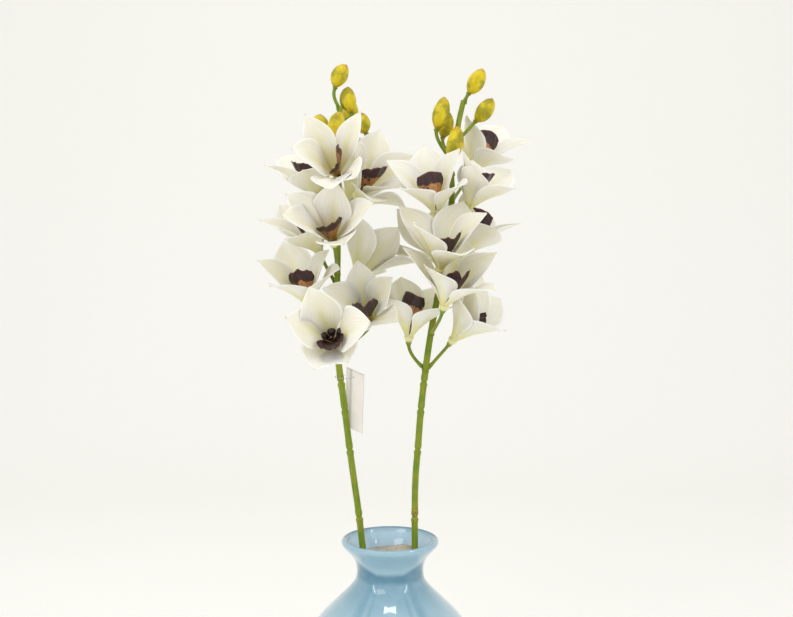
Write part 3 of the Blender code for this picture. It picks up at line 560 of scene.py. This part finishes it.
def glass_look():
    """Cased glass: a pale blue body under a clear, glossy skin, with reflections painted in as darker
    bands down the sides and a dark neck.
    """
    look = Look("cased_glass", 0.16, Specular_IOR_Level=0.22, Coat_Weight=1.0, Coat_Roughness=0.02)
    places = look.places()
    sideways, _, height = look.split(places)
    drift = look.noise(look.stretched(places, (1.0, 1.0, 0.35)), 14.0, 3.0)
    level = look.plus(height, look.times(look.minus(drift, 0.5), 0.006))
    flat = look.stretched(places, (1.0, 1.0, 0.0))
    radius = look.node("VectorMath", output=1, settings={"operation": "LENGTH"}, i0=flat)
    beside = look.maths("ABSOLUTE", sideways)
    turned = look.maths("DIVIDE", beside, radius)
    body = look.fade(level, 0.03, 0.15, rgb(134, 167, 184), rgb(156, 188, 201))
    # Painted reflections and refraction: two deeper bands run down each side of the body, front and back
    # alike
    outer = look.band(turned, 0.46, 0.54, 0.56, 0.70)
    inner = look.band(turned, 0.33, 0.37, 0.38, 0.44)
    painted_reflection_bands = look.most(look.times(outer, 0.55), look.times(inner, 0.35))
    painted_reflection_bands = look.times(painted_reflection_bands, look.ramp(level, 0.08, 0.15))
    # Painted reflection: the glass is painted darker up the shoulder
    shown = look.fade(level, 0.155, 0.190, body, rgb(124, 163, 182))
    shown = look.mix(painted_reflection_bands, shown, rgb(98, 146, 170))
    # Painted reflection: the neck is painted a deep, dark blue
    shown = look.fade(level, 0.191, 0.198, shown, rgb(76, 128, 152))
    # The deep, painted reflection band of the neck ends in an edge that rises toward the sides, with paler
    # glass above it
    risen = look.times(look.most(look.minus(beside, 0.014), 0.0), 0.5)
    edge = look.ramp(look.minus(height, risen), 0.2012, 0.2068)
    shown = look.mix(edge, shown, rgb(150, 184, 200))
    _, _, along = look.blade()
    inside = look.times(look.ramp(along, 0.52, 0.56), look.ramp(height, 0.20, 0.215))
    shown = look.mix(look.times(inside, 0.75), shown, rgb(184, 212, 234))
    rim = look.band(along, 0.478, 0.498, 0.508, 0.528)
    shown = look.mix(look.times(rim, 0.8), shown, rgb(70, 120, 142))
    cloud = look.noise(places, 60.0, 2.0)
    look.colour(look.mix(look.ramp(cloud, 0.4, 0.7, 0.0, 0.10), shown, rgb(188, 214, 224)))
    look.bump(look.noise(places, 30.0, 1.0), 0.04, 0.001)
    look.gloss(look.ramp(cloud, 0.3, 0.7, 0.10, 0.2))
    return look.material


def sand_look():
    look = Look("sand_grains", 0.9, Specular_IOR_Level=0.2)
    places = look.places()
    grains = look.cells(places, 900.0)
    single = look.split(look.cells(places, 900.0, output=1))[0]
    wide = look.noise(places, 160.0, 3.0)
    shown = look.mix(single, rgb(168, 158, 140), rgb(206, 200, 186))
    look.colour(look.mix(look.ramp(wide, 0.45, 0.7, 0.0, 0.5), shown, rgb(150, 138, 118)))
    look.bump(look.minus(1.0, grains), 0.6, 0.0008)
    return look.material


def card_look():
    look = Look("tag_card", 0.72, Specular_IOR_Level=0.25)
    places = look.places()
    fibre = look.noise(look.stretched(places, (500.0, 500.0, 1400.0)), 1.0, 4.0)
    wide = look.noise(places, 60.0, 2.0)
    _, across, _ = look.blade()
    shown = look.fade(wide, 0.35, 0.65, rgb(237, 231, 226), rgb(232, 226, 219))
    # Painted shade: a grey strip beside the fold, where the folded card is shaded
    fold = look.band(across, 0.17, 0.22, 0.31, 0.36)
    shown = look.mix(look.times(fold, 0.7), shown, rgb(190, 190, 180))
    look.colour(look.mix(look.ramp(fibre, 0.55, 0.75, 0.0, 0.2), shown, rgb(214, 206, 197)))
    look.bump(fibre, 0.25, 0.0003)
    return look.material


def loop_look():
    look = Look("loop_clear", 0.15, Specular_IOR_Level=0.3, Transmission_Weight=0.85)
    drift = look.noise(look.places(), 300.0, 2.0)
    look.colour(look.fade(drift, 0.3, 0.7, rgb(222, 226, 224), rgb(238, 240, 238)))
    return look.material


PETAL, LIP, COLUMN, RECEPTACLE = petal_look(), lip_look(), column_look(), receptacle_look()
BUD, STEM, GLASS, SAND = bud_look(), stem_look(), glass_look(), sand_look()
CARD, LOOP = card_look(), loop_look()


# ---- mesh helpers


def eased(pairs, places):
    """Values at the places asked for, on a smooth curve through (place, value) pairs."""
    known = np.array([pair[0] for pair in pairs], float)
    values = np.array([pair[1] for pair in pairs], float)
    slopes = np.gradient(values, known, axis=0)
    places = np.asarray(places, float)
    span = np.clip(np.searchsorted(known, places, side="right") - 1, 0, len(known) - 2)
    step = known[span + 1] - known[span]
    t = (places - known[span]) / step
    return (
        (1 + 2 * t) * (1 - t) ** 2 * values[span]
        + t * (1 - t) ** 2 * step * slopes[span]
        + t * t * (3 - 2 * t) * values[span + 1]
        + t * t * (t - 1) * step * slopes[span + 1]
    )


def smooth_mesh(name, points, faces, looks):
    """A smooth-shaded mesh that carries these materials."""
    mesh = bpy.data.meshes.new(name)
    mesh.from_pydata(points, [], faces)
    for look in looks:
        mesh.materials.append(look)
    mesh.polygons.foreach_set("use_smooth", [True] * len(mesh.polygons))
    return mesh


def linked(name, data):
    """A new object in the scene."""
    made = bpy.data.objects.new(name, data)
    bpy.context.scene.collection.objects.link(made)
    return made


class Shape:
    """Points, faces, map places and material slots of a piece that is being built."""

    def __init__(self):
        self.points, self.faces, self.uvs, self.slots = [], [], [], []

    def add(self, points, faces, uvs, slot=0, flower=None):
        """Adds to the piece; with a flower, the points are about its heart and axis."""
        if flower:
            place = facing_frame(*flower.facing)
            points = np.array(points) @ place.T + np.array(flower.heart) * MM
        first = len(self.points)
        self.points += [tuple(map(float, point)) for point in points]
        self.uvs += [tuple(map(float, pair)) for pair in uvs]
        self.faces += [tuple(first + i for i in face) for face in faces]
        self.slots += [slot] * len(faces)

    def make(self, node, looks):
        """The finished piece, riding on the root and standing for its node."""
        mesh = smooth_mesh(node + "_visual", self.points, self.faces, looks)
        layer = mesh.uv_layers.new(name="Blade")
        corners = np.zeros(len(mesh.loops), np.int32)
        mesh.loops.foreach_get("vertex_index", corners)
        layer.data.foreach_set("uv", np.array(self.uvs, np.float32)[corners].reshape(-1))
        mesh.polygons.foreach_set("material_index", self.slots)
        piece = linked(node + "_visual", mesh)
        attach(piece, "root")
        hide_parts(node)


def grid_faces(rows, columns, first=0, turned=False, around=False):
    """Four-sided faces over rows of points; around joins each row's end to its start."""
    faces = []
    for i in range(rows - 1):
        for j in range(columns if around else columns - 1):
            a = first + i * columns + j
            b = first + i * columns + (j + 1) % columns
            face = (a, b, b + columns, a + columns)
            faces.append(face[::-1] if turned else face)
    return faces


def tube(route, radii, sides, along=None, squash=None):
    """Points, faces and map places of a round tube along a route, closed at both ends."""
    route = np.asarray(route, float)
    if along is None:
        along = np.gradient(route, axis=0)
    along = along / np.linalg.norm(along, axis=1)[:, None]
    across = np.cross(along[0], (0.0, 1.0, 0.3))
    points, uvs = [], []
    lengths = np.concatenate([[0], np.cumsum(np.linalg.norm(np.diff(route, axis=0), axis=1))])
    shares = lengths / lengths[-1]
    for i, (centre, forward, radius) in enumerate(zip(route, along, radii)):
        across = across - (across @ forward) * forward
        across /= np.linalg.norm(across)
        other = np.cross(forward, across)
        for k in range(sides):
            turn = TAU * k / sides
            reach = radius * (squash(turn, shares[i]) if squash else 1.0)
            points.append(centre + reach * (math.cos(turn) * across + math.sin(turn) * other))
            uvs.append((k / sides, shares[i]))
    faces = grid_faces(len(route), sides, around=True)
    last = (len(route) - 1) * sides
    points += [route[0], route[-1]]
    uvs += [(0.5, 0.0), (0.5, 1.0)]
    foot, top = len(points) - 2, len(points) - 1
    for k in range(sides):
        faces.append((foot, (k + 1) % sides, k))
        faces.append((top, last + k, last + (k + 1) % sides))
    return points, faces, uvs


def facing_frame(azimuth, elevation, roll):
    """Columns are a flower's right, its top and the way that it faces; 0, 0 faces the front."""
    azimuth, elevation, roll = (math.radians(angle) for angle in (azimuth, elevation, roll))
    flat = math.cos(elevation)
    ahead = np.array([math.sin(azimuth) * flat, -math.cos(azimuth) * flat, math.sin(elevation)])
    top = np.array([0.0, 0.0, 1.0]) - ahead[2] * ahead
    top /= np.linalg.norm(top)
    right = np.cross(top, ahead)
    turned_top = math.cos(roll) * top - math.sin(roll) * right
    turned_right = math.cos(roll) * right + math.sin(roll) * top
    return np.stack([turned_right, turned_top, ahead], axis=1)


def midrib(length, base_angle, tip_angle, ease, start):
    """(share of length, distance out, height, angle) along a blade that opens to its tip."""
    share = np.linspace(0, 1, 65)
    angle = np.radians(base_angle + (tip_angle - base_angle) * share**ease)
    middle = (angle[1:] + angle[:-1]) / 2
    out = start[0] + np.concatenate([[0], np.cumsum(np.sin(middle))]) * length / 64
    up = start[1] + np.concatenate([[0], np.cumsum(np.cos(middle))]) * length / 64
    return share, out, up, angle


def blade(theta, spine, places, half_widths, cups, spread, lift):
    """A grid of points on a cupped blade; lift, a grid, moves them toward the middle."""
    share, out, up, angle = spine
    places = np.broadcast_to(places, (len(half_widths), len(spread)))
    out, up, angle = (np.interp(places, share, values) for values in (out, up, angle))
    cups = np.radians(cups)[:, None]
    half_widths = half_widths[:, None]
    across = half_widths * np.sin(cups * spread) / np.sin(cups)
    rise = half_widths * (1 - np.cos(cups * spread)) / np.sin(cups) + lift
    theta = math.radians(theta)
    outward = np.array([math.sin(theta), math.cos(theta), 0.0])
    sideways = np.array([math.cos(theta), -math.sin(theta), 0.0])
    forward = np.array([0.0, 0.0, 1.0])
    from_axis = out - rise * np.cos(angle)
    height = up + rise * np.sin(angle)
    return from_axis[..., None] * outward + across[..., None] * sideways + height[..., None] * forward


def grid_places(rows, columns):
    """(across, along) of each point of a grid."""
    return [(j / (columns - 1), i / (rows - 1)) for i in range(rows) for j in range(columns)]


def blade_places(v, along):
    """Map places of a blade's outside and then of its inside."""
    pairs = np.stack([v.reshape(-1) / 2 + 0.5, along.reshape(-1)], axis=1)
    return np.concatenate([pairs, pairs])


def slab(outside, inside):
    """One closed sheet from two grids of the same size, joined by a ring of faces round its edge."""
    rows, columns = outside.shape[:2]
    points = list(outside.reshape(-1, 3)) + list(inside.reshape(-1, 3))
    back = rows * columns
    faces = grid_faces(rows, columns) + grid_faces(rows, columns, back, turned=True)
    border = [(i, 0) for i in range(rows)] + [(rows - 1, j) for j in range(1, columns)]
    border += [(i, columns - 1) for i in range(rows - 2, -1, -1)]
    border += [(0, j) for j in range(columns - 2, 0, -1)]
    count = len(border)
    for k in range(count):
        (i, j), (m, n) = border[k], border[(k + 1) % count]
        a, b = i * columns + j, m * columns + n
        faces.append((b, a, back + a, back + b))
    return points, faces


# ---- flowers


def phase(heart, step):
    """A repeatable number from 0 to 1 for a flower's own small differences."""
    value = math.sin(heart[0] * 12.9898 + heart[1] * 78.233 + heart[2] * 37.719 + step * 4.1414)
    return (value * 43758.5453) % 1.0


def tepal_grids(flower, number):
    """Outside and inside of one tepal: cupped, creased down its middle, with a lazy wave."""
    theta, base_angle, tip_angle = TEPALS[number]
    own = [phase(flower.heart, 3 * number + j) for j in range(3)]
    lean = flower.lean[number]
    spine = midrib(
        TEPAL_LENGTH * flower.length[number],
        base_angle + OPENING_AT_BASE * flower.opening + lean,
        tip_angle + flower.opening + lean,
        1.0,
        (TEPAL_START, 0.0),
    )
    rows = np.concatenate([np.linspace(0, 0.8, 15), np.linspace(0.84, 1, 7)])
    spread = np.sin(np.linspace(-math.pi / 2, math.pi / 2, TEPAL_COLUMNS))
    half = TEPAL_WIDTH / 2 * flower.width[number] * eased(TEPAL_SHAPE, rows)
    cups = np.full(len(rows), TEPAL_CUP, float)
    u, v = np.meshgrid(rows, spread, indexing="ij")
    middle = np.sin(np.pi * np.clip(u * 1.05, 0, 1)) ** 0.8
    crease = np.exp(-((v / 0.13) ** 2)) * middle
    wave = np.abs(v) ** 3 * middle
    wave = wave * (
        np.sin(TAU * (1.3 * u + own[0])) * np.where(v > 0, 1.0, 0.5)
        + np.sin(TAU * (1.7 * u + own[1])) * np.where(v < 0, 1.0, 0.4)
    )
    roll = np.abs(v) ** 5 * np.clip((u - 0.3) / 0.5, 0, 1)
    tip = np.clip((u - 0.82) / 0.18, 0, 1) ** 2
    bend = TEPAL_WAVE * wave - TEPAL_ROLL * roll + TEPAL_TIP_BEND * (own[2] - 0.35) * tip
    thin = 0.30 + 0.70 * np.sqrt(np.clip(1 - v**2, 0, 1)) * np.clip((1.02 - u) / 0.15, 0.25, 1)
    centre = TEPAL_THICKNESS / 2
    outside = bend + centre * (1 - thin) - CREASE_OUTSIDE * crease
    inside = bend + centre * (1 + thin) - CREASE_INSIDE * crease
    theta += flower.swing[number]
    grids = [blade(theta, spine, u, half, cups, spread, lift) for lift in (outside, inside)]
    return grids, u, v


def perianth(name, flower):
    """Five tepals, the small cup that they grow from, and the column arched over the lip."""
    shape = Shape()
    for number in range(len(TEPALS)):
        grids, u, v = tepal_grids(flower, number)
        shape.add(*slab(*grids), blade_places(v, u), flower=flower)
    heights, radii = zip(*CUP_SHAPE)
    cup = tube([(0, 0, height) for height in heights], radii, CUP_SIDES)
    shape.add(*cup, slot=2, flower=flower)
    levels = np.linspace(0, 1, 12)
    bow = COLUMN_START[0] - COLUMN_ARCH * levels**2 + COLUMN_RISE * levels
    route = np.stack([0 * levels, bow, COLUMN_START[1] + COLUMN_LENGTH * levels], 1)
    radii = np.interp(levels, *zip(*COLUMN_SHAPE))
    column = tube(route, radii, COLUMN_SIDES, squash=lambda turn, share: 1 + 0.12 * math.cos(turn))
    shape.add(*column, slot=1, flower=flower)
    column_material = LIP if name == DARK_COLUMN else COLUMN
    shape.make(name, (PETAL, column_material, RECEPTACLE))


def lip(name, flower):
    """A lip: a scoop whose edge has its own outline, ruffled and flared, with two keels inside."""
    turn, foot_angle, tip_angle, length = flower.lip
    spine = midrib(length * LIP_REACH * MM, foot_angle, tip_angle, LIP_EASE, LIP_START)
    rows = np.linspace(0, 1, LIP_ROWS)
    spread = np.linspace(-1, 1, LIP_COLUMNS)
    u, v = np.meshgrid(rows, spread, indexing="ij")
    own = [phase(flower.heart, 40 + j) for j in range(3)]
    heights = LIP_EDGES.get(name, LIP_EDGE)
    end = eased(list(zip(np.linspace(-1, 1, len(heights)), heights)), -v)
    reached = u * end
    half = LIP_WIDTH / 2 * eased(LIP_SHAPE, rows)
    cups = np.interp(rows, *zip(*LIP_CUPS))
    top = np.clip((u - 0.55) / 0.45, 0, 1)
    wide, narrow = (np.sin(TAU * (pace * v + own[k])) for k, pace in enumerate((1.6, 3.1)))
    ruffle = top**2 * (LIP_RUFFLES[0] * wide + LIP_RUFFLES[1] * narrow)
    flare = -LIP_FLARE * top**3 * (1 - 0.5 * np.abs(v))
    keel = LIP_KEEL * (np.exp(-(((v - 0.16) / 0.07) ** 2)) + np.exp(-(((v + 0.16) / 0.07) ** 2)))
    thin = np.clip((1.04 - u) / 0.2, 0.35, 1) * np.clip((1.06 - np.abs(v)) / 0.15, 0.4, 1)
    bend = ruffle + flare
    outside = bend + LIP_THICKNESS / 2 * (1 - thin)
    inside = bend + LIP_THICKNESS / 2 * (1 + thin) + keel * np.clip(u * 3, 0, 1) * (1 - top)
    theta = 180 + turn
    grids = [blade(theta, spine, reached, half, cups, spread, lift) for lift in (outside, inside)]
    shown = np.maximum(u, np.minimum(0.95, 1 - (1 - u) * LIP_THROATS.get(name, 1.0)))
    shape = Shape()
    shape.add(*slab(*grids), blade_places(v, shown), flower=flower)
    for knob in LIP_KNOBS.get(name, ()):
        levels = np.linspace(0, 1, 18)
        radii = np.interp(levels, *zip(*KNOB_SHAPE)) * MM
        route = np.outer(levels, np.array(knob) * KNOB_REACH * MM)
        points, faces, uvs = tube(route, radii, KNOB_SIDES)
        uvs = [(across, 0.80 + 0.12 * along) for across, along in uvs]
        shape.add(points, faces, uvs, flower=flower)
    shape.make(name, (LIP,))


def bud(name, base, tip):
    """A closed bud: three folded sepals whose seams run from foot to tip, slightly arched."""
    base, tip = np.array(base) * MM, np.array(tip) * MM
    shares = np.concatenate([np.linspace(0, 0.9, 19), [0.94, 0.97, 0.99, 1.0]])
    ahead = (tip - base) / np.linalg.norm(tip - base)
    side = np.cross(ahead, (0.0, 1.0, 0.0))
    arch = BUD_ARCH * (1 if base[0] < 0 else -1)
    route = [base + (tip - base) * s + side * arch * (s * (1 - s) * 4 - 0.35 * s) for s in shares]
    radii = BUD_WIDTH / 2 * eased(BUD_SHAPE, shares)
    own = phase(base * 1000, 7)

    def folded(turn, share):
        seam = abs(math.sin(1.5 * (turn + own))) ** 0.55
        depth = 0.15 * math.sin(math.pi * min(1.0, share * 1.05)) ** 0.6
        narrow = 1 - 0.16 * max(0.0, share - 0.45)
        return narrow * (1 - depth * (1 - seam) + 0.05 * math.cos(turn))

    points, faces, uvs = tube(route, radii, BUD_SIDES, squash=folded)
    uvs = [((u + own / TAU) % 1.0, v) for u, v in uvs]
    shape = Shape()
    shape.add(points, faces, uvs)
    shape.make(name, (BUD,))


# ---- stems


def stem_point(route, height):
    """The point of a stem at a height."""
    route = np.array(route, float) * MM
    return np.array([np.interp(height, route[:, 2], route[:, axis]) for axis in range(3)])


def stem_across(route, level):
    """(x, y) of a stem at a level, on a smooth curve through its route."""
    return [
        eased([(point[2] * MM, point[axis] * MM) for point in route], [level])[0]
        for axis in (0, 1)
    ]


def stem_radius(height):
    """Full under each joint, with a raised lip there, and pinched just above it."""
    radius = np.interp(height, (0.40, 0.68), (STEM_RADIUS, TOP_RADIUS))
    for joint in JOINT_HEIGHTS:
        for out, middle, spread in JOINT_RINGS:
            radius += out * math.exp(-(((height - joint - middle) / spread) ** 2))
    return radius


def stalk(shape, start, bend, end, sheath=True):
    """A stalk from a flower or a bud down to the stem; a sheath thickens its lower end."""
    t = np.linspace(0, 1, STALK_ROWS)[:, None]
    route = (1 - t) ** 2 * start + 2 * t * (1 - t) * bend + t * t * end
    along = (1 - t) * (bend - start) + t * (end - bend)
    share = t[:, 0]
    radii = STALK_RADIUS + (STALK_END_RADIUS - STALK_RADIUS) * np.exp(-((share / 0.07) ** 2))
    if sheath:
        radii = radii + 0.0005 * np.exp(-(((share - 0.86) / 0.07) ** 2))
    shape.add(*tube(route, radii, STALK_SIDES, along))


def scale(shape, foot, toward, length):
    """A short pointed scale that hugs the stem under a stalk, on the side it leans toward."""
    outward = np.array([toward[0], toward[1], 0.0])
    if np.linalg.norm(outward) <= SCALE_LEAST_REACH:
        return
    outward /= np.linalg.norm(outward)
    rows, columns = 9, 7
    ahead = np.array([0, 0, 1.0])
    side = np.cross(ahead, outward)
    foot = foot - np.array([0, 0, SCALE_DROP])
    grids = np.zeros((2, rows, columns, 3))
    for layer, gap in enumerate((0.0, SCALE_THICKNESS)):
        for i in range(rows):
            share = i / (rows - 1)
            wide = (1 - share**1.8) * 1.15 + 0.04
            for j in range(columns):
                turn = wide * (j / (columns - 1) * 2 - 1)
                reach = STEM_RADIUS * 1.02 + gap + 0.0010 * share**2
                across = math.cos(turn) * outward + math.sin(turn) * side
                grids[layer, i, j] = foot + ahead * (share * length) + across * reach
    shape.add(*slab(grids[1], grids[0]), grid_places(rows, columns) * 2)


def stem(name, spray):
    """A ribbed, jointed stem with the stalks and scales of its flowers and buds."""
    shape = Shape()
    low, high = STEM_FOOT, spray.route[-1][2] * MM
    levels = set(np.round(np.arange(low, high, STEM_STEP), 5)) | {high}
    for joint in JOINT_HEIGHTS:
        levels |= set(np.round(np.arange(joint - 0.007, joint + 0.0075, JOINT_STEP), 5))
    levels = sorted(levels)
    route = [(*stem_across(spray.route, level), level) for level in levels]
    radii = [stem_radius(level) for level in levels]

    def ribbed(turn, share):
        return 1 + 0.022 * math.sin(5 * turn + 9 * share) + 0.015 * math.sin(3 * turn + 31 * share)

    shape.add(*tube(route, radii, STEM_SIDES, squash=ribbed))
    for flower in spray.flowers:
        ahead = facing_frame(*flower.facing)[:, 2]
        heart = np.array(flower.heart) * MM
        start = heart + ahead * STUB_BOTTOM
        end = stem_point(spray.route, heart[2] - flower.drop * MM)
        stalk(shape, start, start - ahead * STALK_REACH, end)
        scale(shape, end, heart - end, FLOWER_SCALE)
    for base, tip, foot in spray.buds:
        base, tip = np.array(base) * MM, np.array(tip) * MM
        ahead = (tip - base) / np.linalg.norm(tip - base)
        end = stem_point(spray.route, foot * MM)
        stalk(shape, base, base - ahead * BUD_STALK_REACH, end, sheath=False)
        scale(shape, end, base - end, BUD_SCALE)
    shape.make(name, (STEM,))


# ---- vase, fill, tag


def lathed(node, profile, sides, look, shift=None):
    """Turns (radius, height) points about +Z; both ends close to a point on the axis.

    Shift, a function, moves each point.
    """
    profile = np.array(profile, float)
    points, uvs = [], []
    for i, (radius, height) in enumerate(profile):
        for k in range(sides):
            turn = TAU * k / sides
            point = (radius * math.cos(turn), radius * math.sin(turn), height)
            points.append(shift(point) if shift else point)
            uvs.append((k / sides, i / (len(profile) - 1)))
    faces = grid_faces(len(profile), sides, around=True)
    for i, row in ((0, 0), (len(profile) - 1, (len(profile) - 1) * sides)):
        centre = (0.0, 0.0, profile[i][1])
        points.append(shift(centre) if shift else centre)
        uvs.append((0.5, float(i > 0)))
        for k in range(sides):
            beside = row + (k + 1) % sides
            face = (len(points) - 1, beside, row + k)
            faces.append(face if i == 0 else face[::-1])
    shape = Shape()
    shape.add(points, faces, uvs)
    shape.make(node, (look,))


def smooth_profile(pairs, steps, first, last):
    """The same outline with more points along its length, closest between first and last."""
    pairs = np.array(pairs, float)
    lengths = np.concatenate([[0], np.cumsum(np.linalg.norm(np.diff(pairs, axis=0), axis=1))])
    close = np.linspace(lengths[first], lengths[last], RIM_STEPS)
    fine = np.unique(np.concatenate([np.linspace(0, lengths[-1], steps), close]))
    return [eased(list(zip(lengths, pairs[:, axis])), fine) for axis in (0, 1)]


def vase():
    """The vase, on a foot ring, with a rounded rim; it is turned outside and inside as one."""
    rim = len(VASE_OUTSIDE) - 1
    outline = VASE_OUTSIDE[1:] + VASE_LIP + VASE_INSIDE
    radii, heights = smooth_profile(outline, VASE_STEPS, rim - 2, rim + len(VASE_LIP) + 1)
    heights = np.maximum(heights, VASE_LOWEST)
    profile = VASE_FOOT + list(zip(radii, heights)) + [(0.0500, VASE_FLOOR), (0.020, VASE_FLOOR)]
    lathed("vase", profile, VASE_SIDES, GLASS)


def heaped(point):
    """The top of the fill: a soft heap to one side, uneven between grains."""
    x, y, z = point
    if z < FILL_TOP - 0.0005:
        return point
    away = math.hypot(x - FILL_HEAP_AT[0], y - FILL_HEAP_AT[1])
    raised = z + FILL_HEAP * math.exp(-((away / FILL_HEAP_WIDTH) ** 2))
    inner = max(0.0, 1 - math.hypot(x, y) / FILL_EDGE_RADIUS)
    grain = 0.0005 * math.sin(x * 900 + 3 * math.sin(y * 500))
    grain *= math.sin(y * 1100 + 2 * math.sin(x * 400))
    return x, y, raised + grain * min(1.0, inner * 6)


def fill():
    """The fill, from the floor of the vase up into its neck. It has no holes for the stems."""
    edge = [(r - FILL_CLEARANCE, z) for r, z in VASE_INSIDE if z < FILL_TOP]
    profile = [(FILL_FOOT, VASE_FLOOR + GAP), (edge[-1][0], edge[-1][1] + 2 * GAP)] + edge[-2::-1]
    profile += [(FILL_EDGE_RADIUS, FILL_TOP)]
    profile += [(FILL_EDGE_RADIUS * share, FILL_TOP) for share in np.linspace(0.96, 0.04, 24)]
    lathed("fill", profile, FILL_SIDES, SAND, heaped)


def hang_tag():
    """A folded card: two slightly bowed leaves that meet in a fold. It has no punched hole."""
    shape = Shape()
    corner = np.array(TAG_CORNER) * MM
    for front in (True, False):
        grids = np.zeros((2, TAG_ROWS, TAG_COLUMNS, 3))
        for k, layer in enumerate((0.0, TAG_LEAF)):
            for i in range(TAG_ROWS):
                for j in range(TAG_COLUMNS):
                    down, over = i / (TAG_ROWS - 1), j / (TAG_COLUMNS - 1)
                    x = TAG_WIDTH * over
                    bow = TAG_BOW * math.sin(math.pi * over) * (1 if front else -1)
                    near = 0.0 if front else TAG_PARTING * min(1.0, over / 0.08) ** 0.5
                    y = near + layer + (TAG_BOW - bow if front else bow)
                    z = -x * TAG_SLANT - TAG_HEIGHT * down
                    grids[k, i, j] = corner + (x + TAG_DRIFT * down, y, z)
        pairs = [(across, 1 - along) for across, along in grid_places(TAG_ROWS, TAG_COLUMNS)]
        shape.add(*slab(*grids), pairs * 2)
    shape.make("hang_tag", (CARD,))


def tag_loop():
    """A thin oval loop round the left stem and through the tag."""
    points, uvs, faces = [], [], []
    centre = np.array(LOOP_CENTRE) * MM
    for k in range(LOOP_STEPS):
        turn = TAU * k / LOOP_STEPS
        outward = np.array([math.cos(turn), math.sin(turn), 0.0])
        at = centre + outward * (LOOP_HALF_WIDTH, LOOP_HALF_DEPTH, 0.0)
        ahead = ((k + 1) % LOOP_STEPS - k) * LOOP_SIDES
        for j in range(LOOP_SIDES):
            lift = TAU * j / LOOP_SIDES
            away = outward * math.cos(lift) + np.array([0, 0, math.sin(lift)])
            points.append(at + LOOP_RADIUS * away)
            uvs.append((j / LOOP_SIDES, k / LOOP_STEPS))
            a, b = k * LOOP_SIDES + j, k * LOOP_SIDES + (j + 1) % LOOP_SIDES
            faces.append((a, a + ahead, b + ahead, b))
    shape = Shape()
    shape.add(points, faces, uvs)
    shape.make("tag_loop", (LOOP,))


vase()
fill()
hang_tag()
tag_loop()
for side, spray in SPRAYS.items():
    stem(f"stem_{side}", spray)
    for number, flower in enumerate(spray.flowers, 1):
        perianth(f"flower_{side}_{number:02d}", flower)
        lip(f"lip_{side}_{number:02d}", flower)
    for number, (base, tip, _) in enumerate(spray.buds, 1):
        bud(f"bud_{side}_{number:02d}", base, tip)


# ---- floor, light, camera


def sweep():
    """A plain floor that curves up into a backdrop."""
    pale = Look("backdrop_pale", 0.9, Specular_IOR_Level=0.1)
    drift = pale.noise(pale.places(), 1.5, 1.0)
    pale.colour(pale.mix(drift, rgb(247, 246, 242), rgb(248, 247, 243)))
    section = [(FLOOR_FRONT, 0.0), (FLOOR_BACK, 0.0)]
    for k in range(1, 13):
        turn = math.radians(7.5 * k)
        back, up = SWEEP_RADIUS * math.sin(turn), SWEEP_RADIUS * math.cos(turn)
        section.append((FLOOR_BACK + back, SWEEP_RADIUS - up))
    section.append((FLOOR_BACK + SWEEP_RADIUS, WALL_TOP))
    points = [(x, y, z) for y, z in section for x in (-FLOOR_SIDE, FLOOR_SIDE)]
    faces = [(2 * i, 2 * i + 1, 2 * i + 3, 2 * i + 2) for i in range(len(section) - 1)]
    floor = linked("sweep", smooth_mesh("sweep", points, faces, [pale.material]))


def panel(name, place, target, size, power):
    """A rectangular studio light aimed at a point."""
    data = bpy.data.lights.new(name, "AREA")
    data.shape = "RECTANGLE"
    data.size, data.size_y = size
    data.energy = power
    light = linked(name, data)
    light.location = place
    away = np.array(place, float) - np.array(target, float)
    away /= np.linalg.norm(away)
    light.rotation_euler = (math.acos(away[2]), 0.0, math.atan2(away[1], away[0]) + math.pi / 2)


def studio():
    """The world's soft light and the camera."""
    world = bpy.data.worlds.new("studio")
    world.use_nodes = True
    background = world.node_tree.nodes["Background"]
    background.inputs["Color"].default_value = WORLD_COLOUR
    background.inputs["Strength"].default_value = WORLD_STRENGTH
    bpy.context.scene.world = world
    data = bpy.data.cameras.new("camera")
    data.sensor_fit = "HORIZONTAL"
    data.sensor_width = 36.0
    data.lens = CAMERA_LENS
    data.clip_start = 0.05
    camera = linked("camera", data)
    camera.location = CAMERA_PLACE
    camera.rotation_euler = (math.radians(CAMERA_PITCH), 0.0, 0.0)
    bpy.context.scene.camera = camera
    bpy.context.scene.view_settings.view_transform = "Standard"


sweep()
for name, light in LIGHTS.items():
    panel(name, *light)
studio()
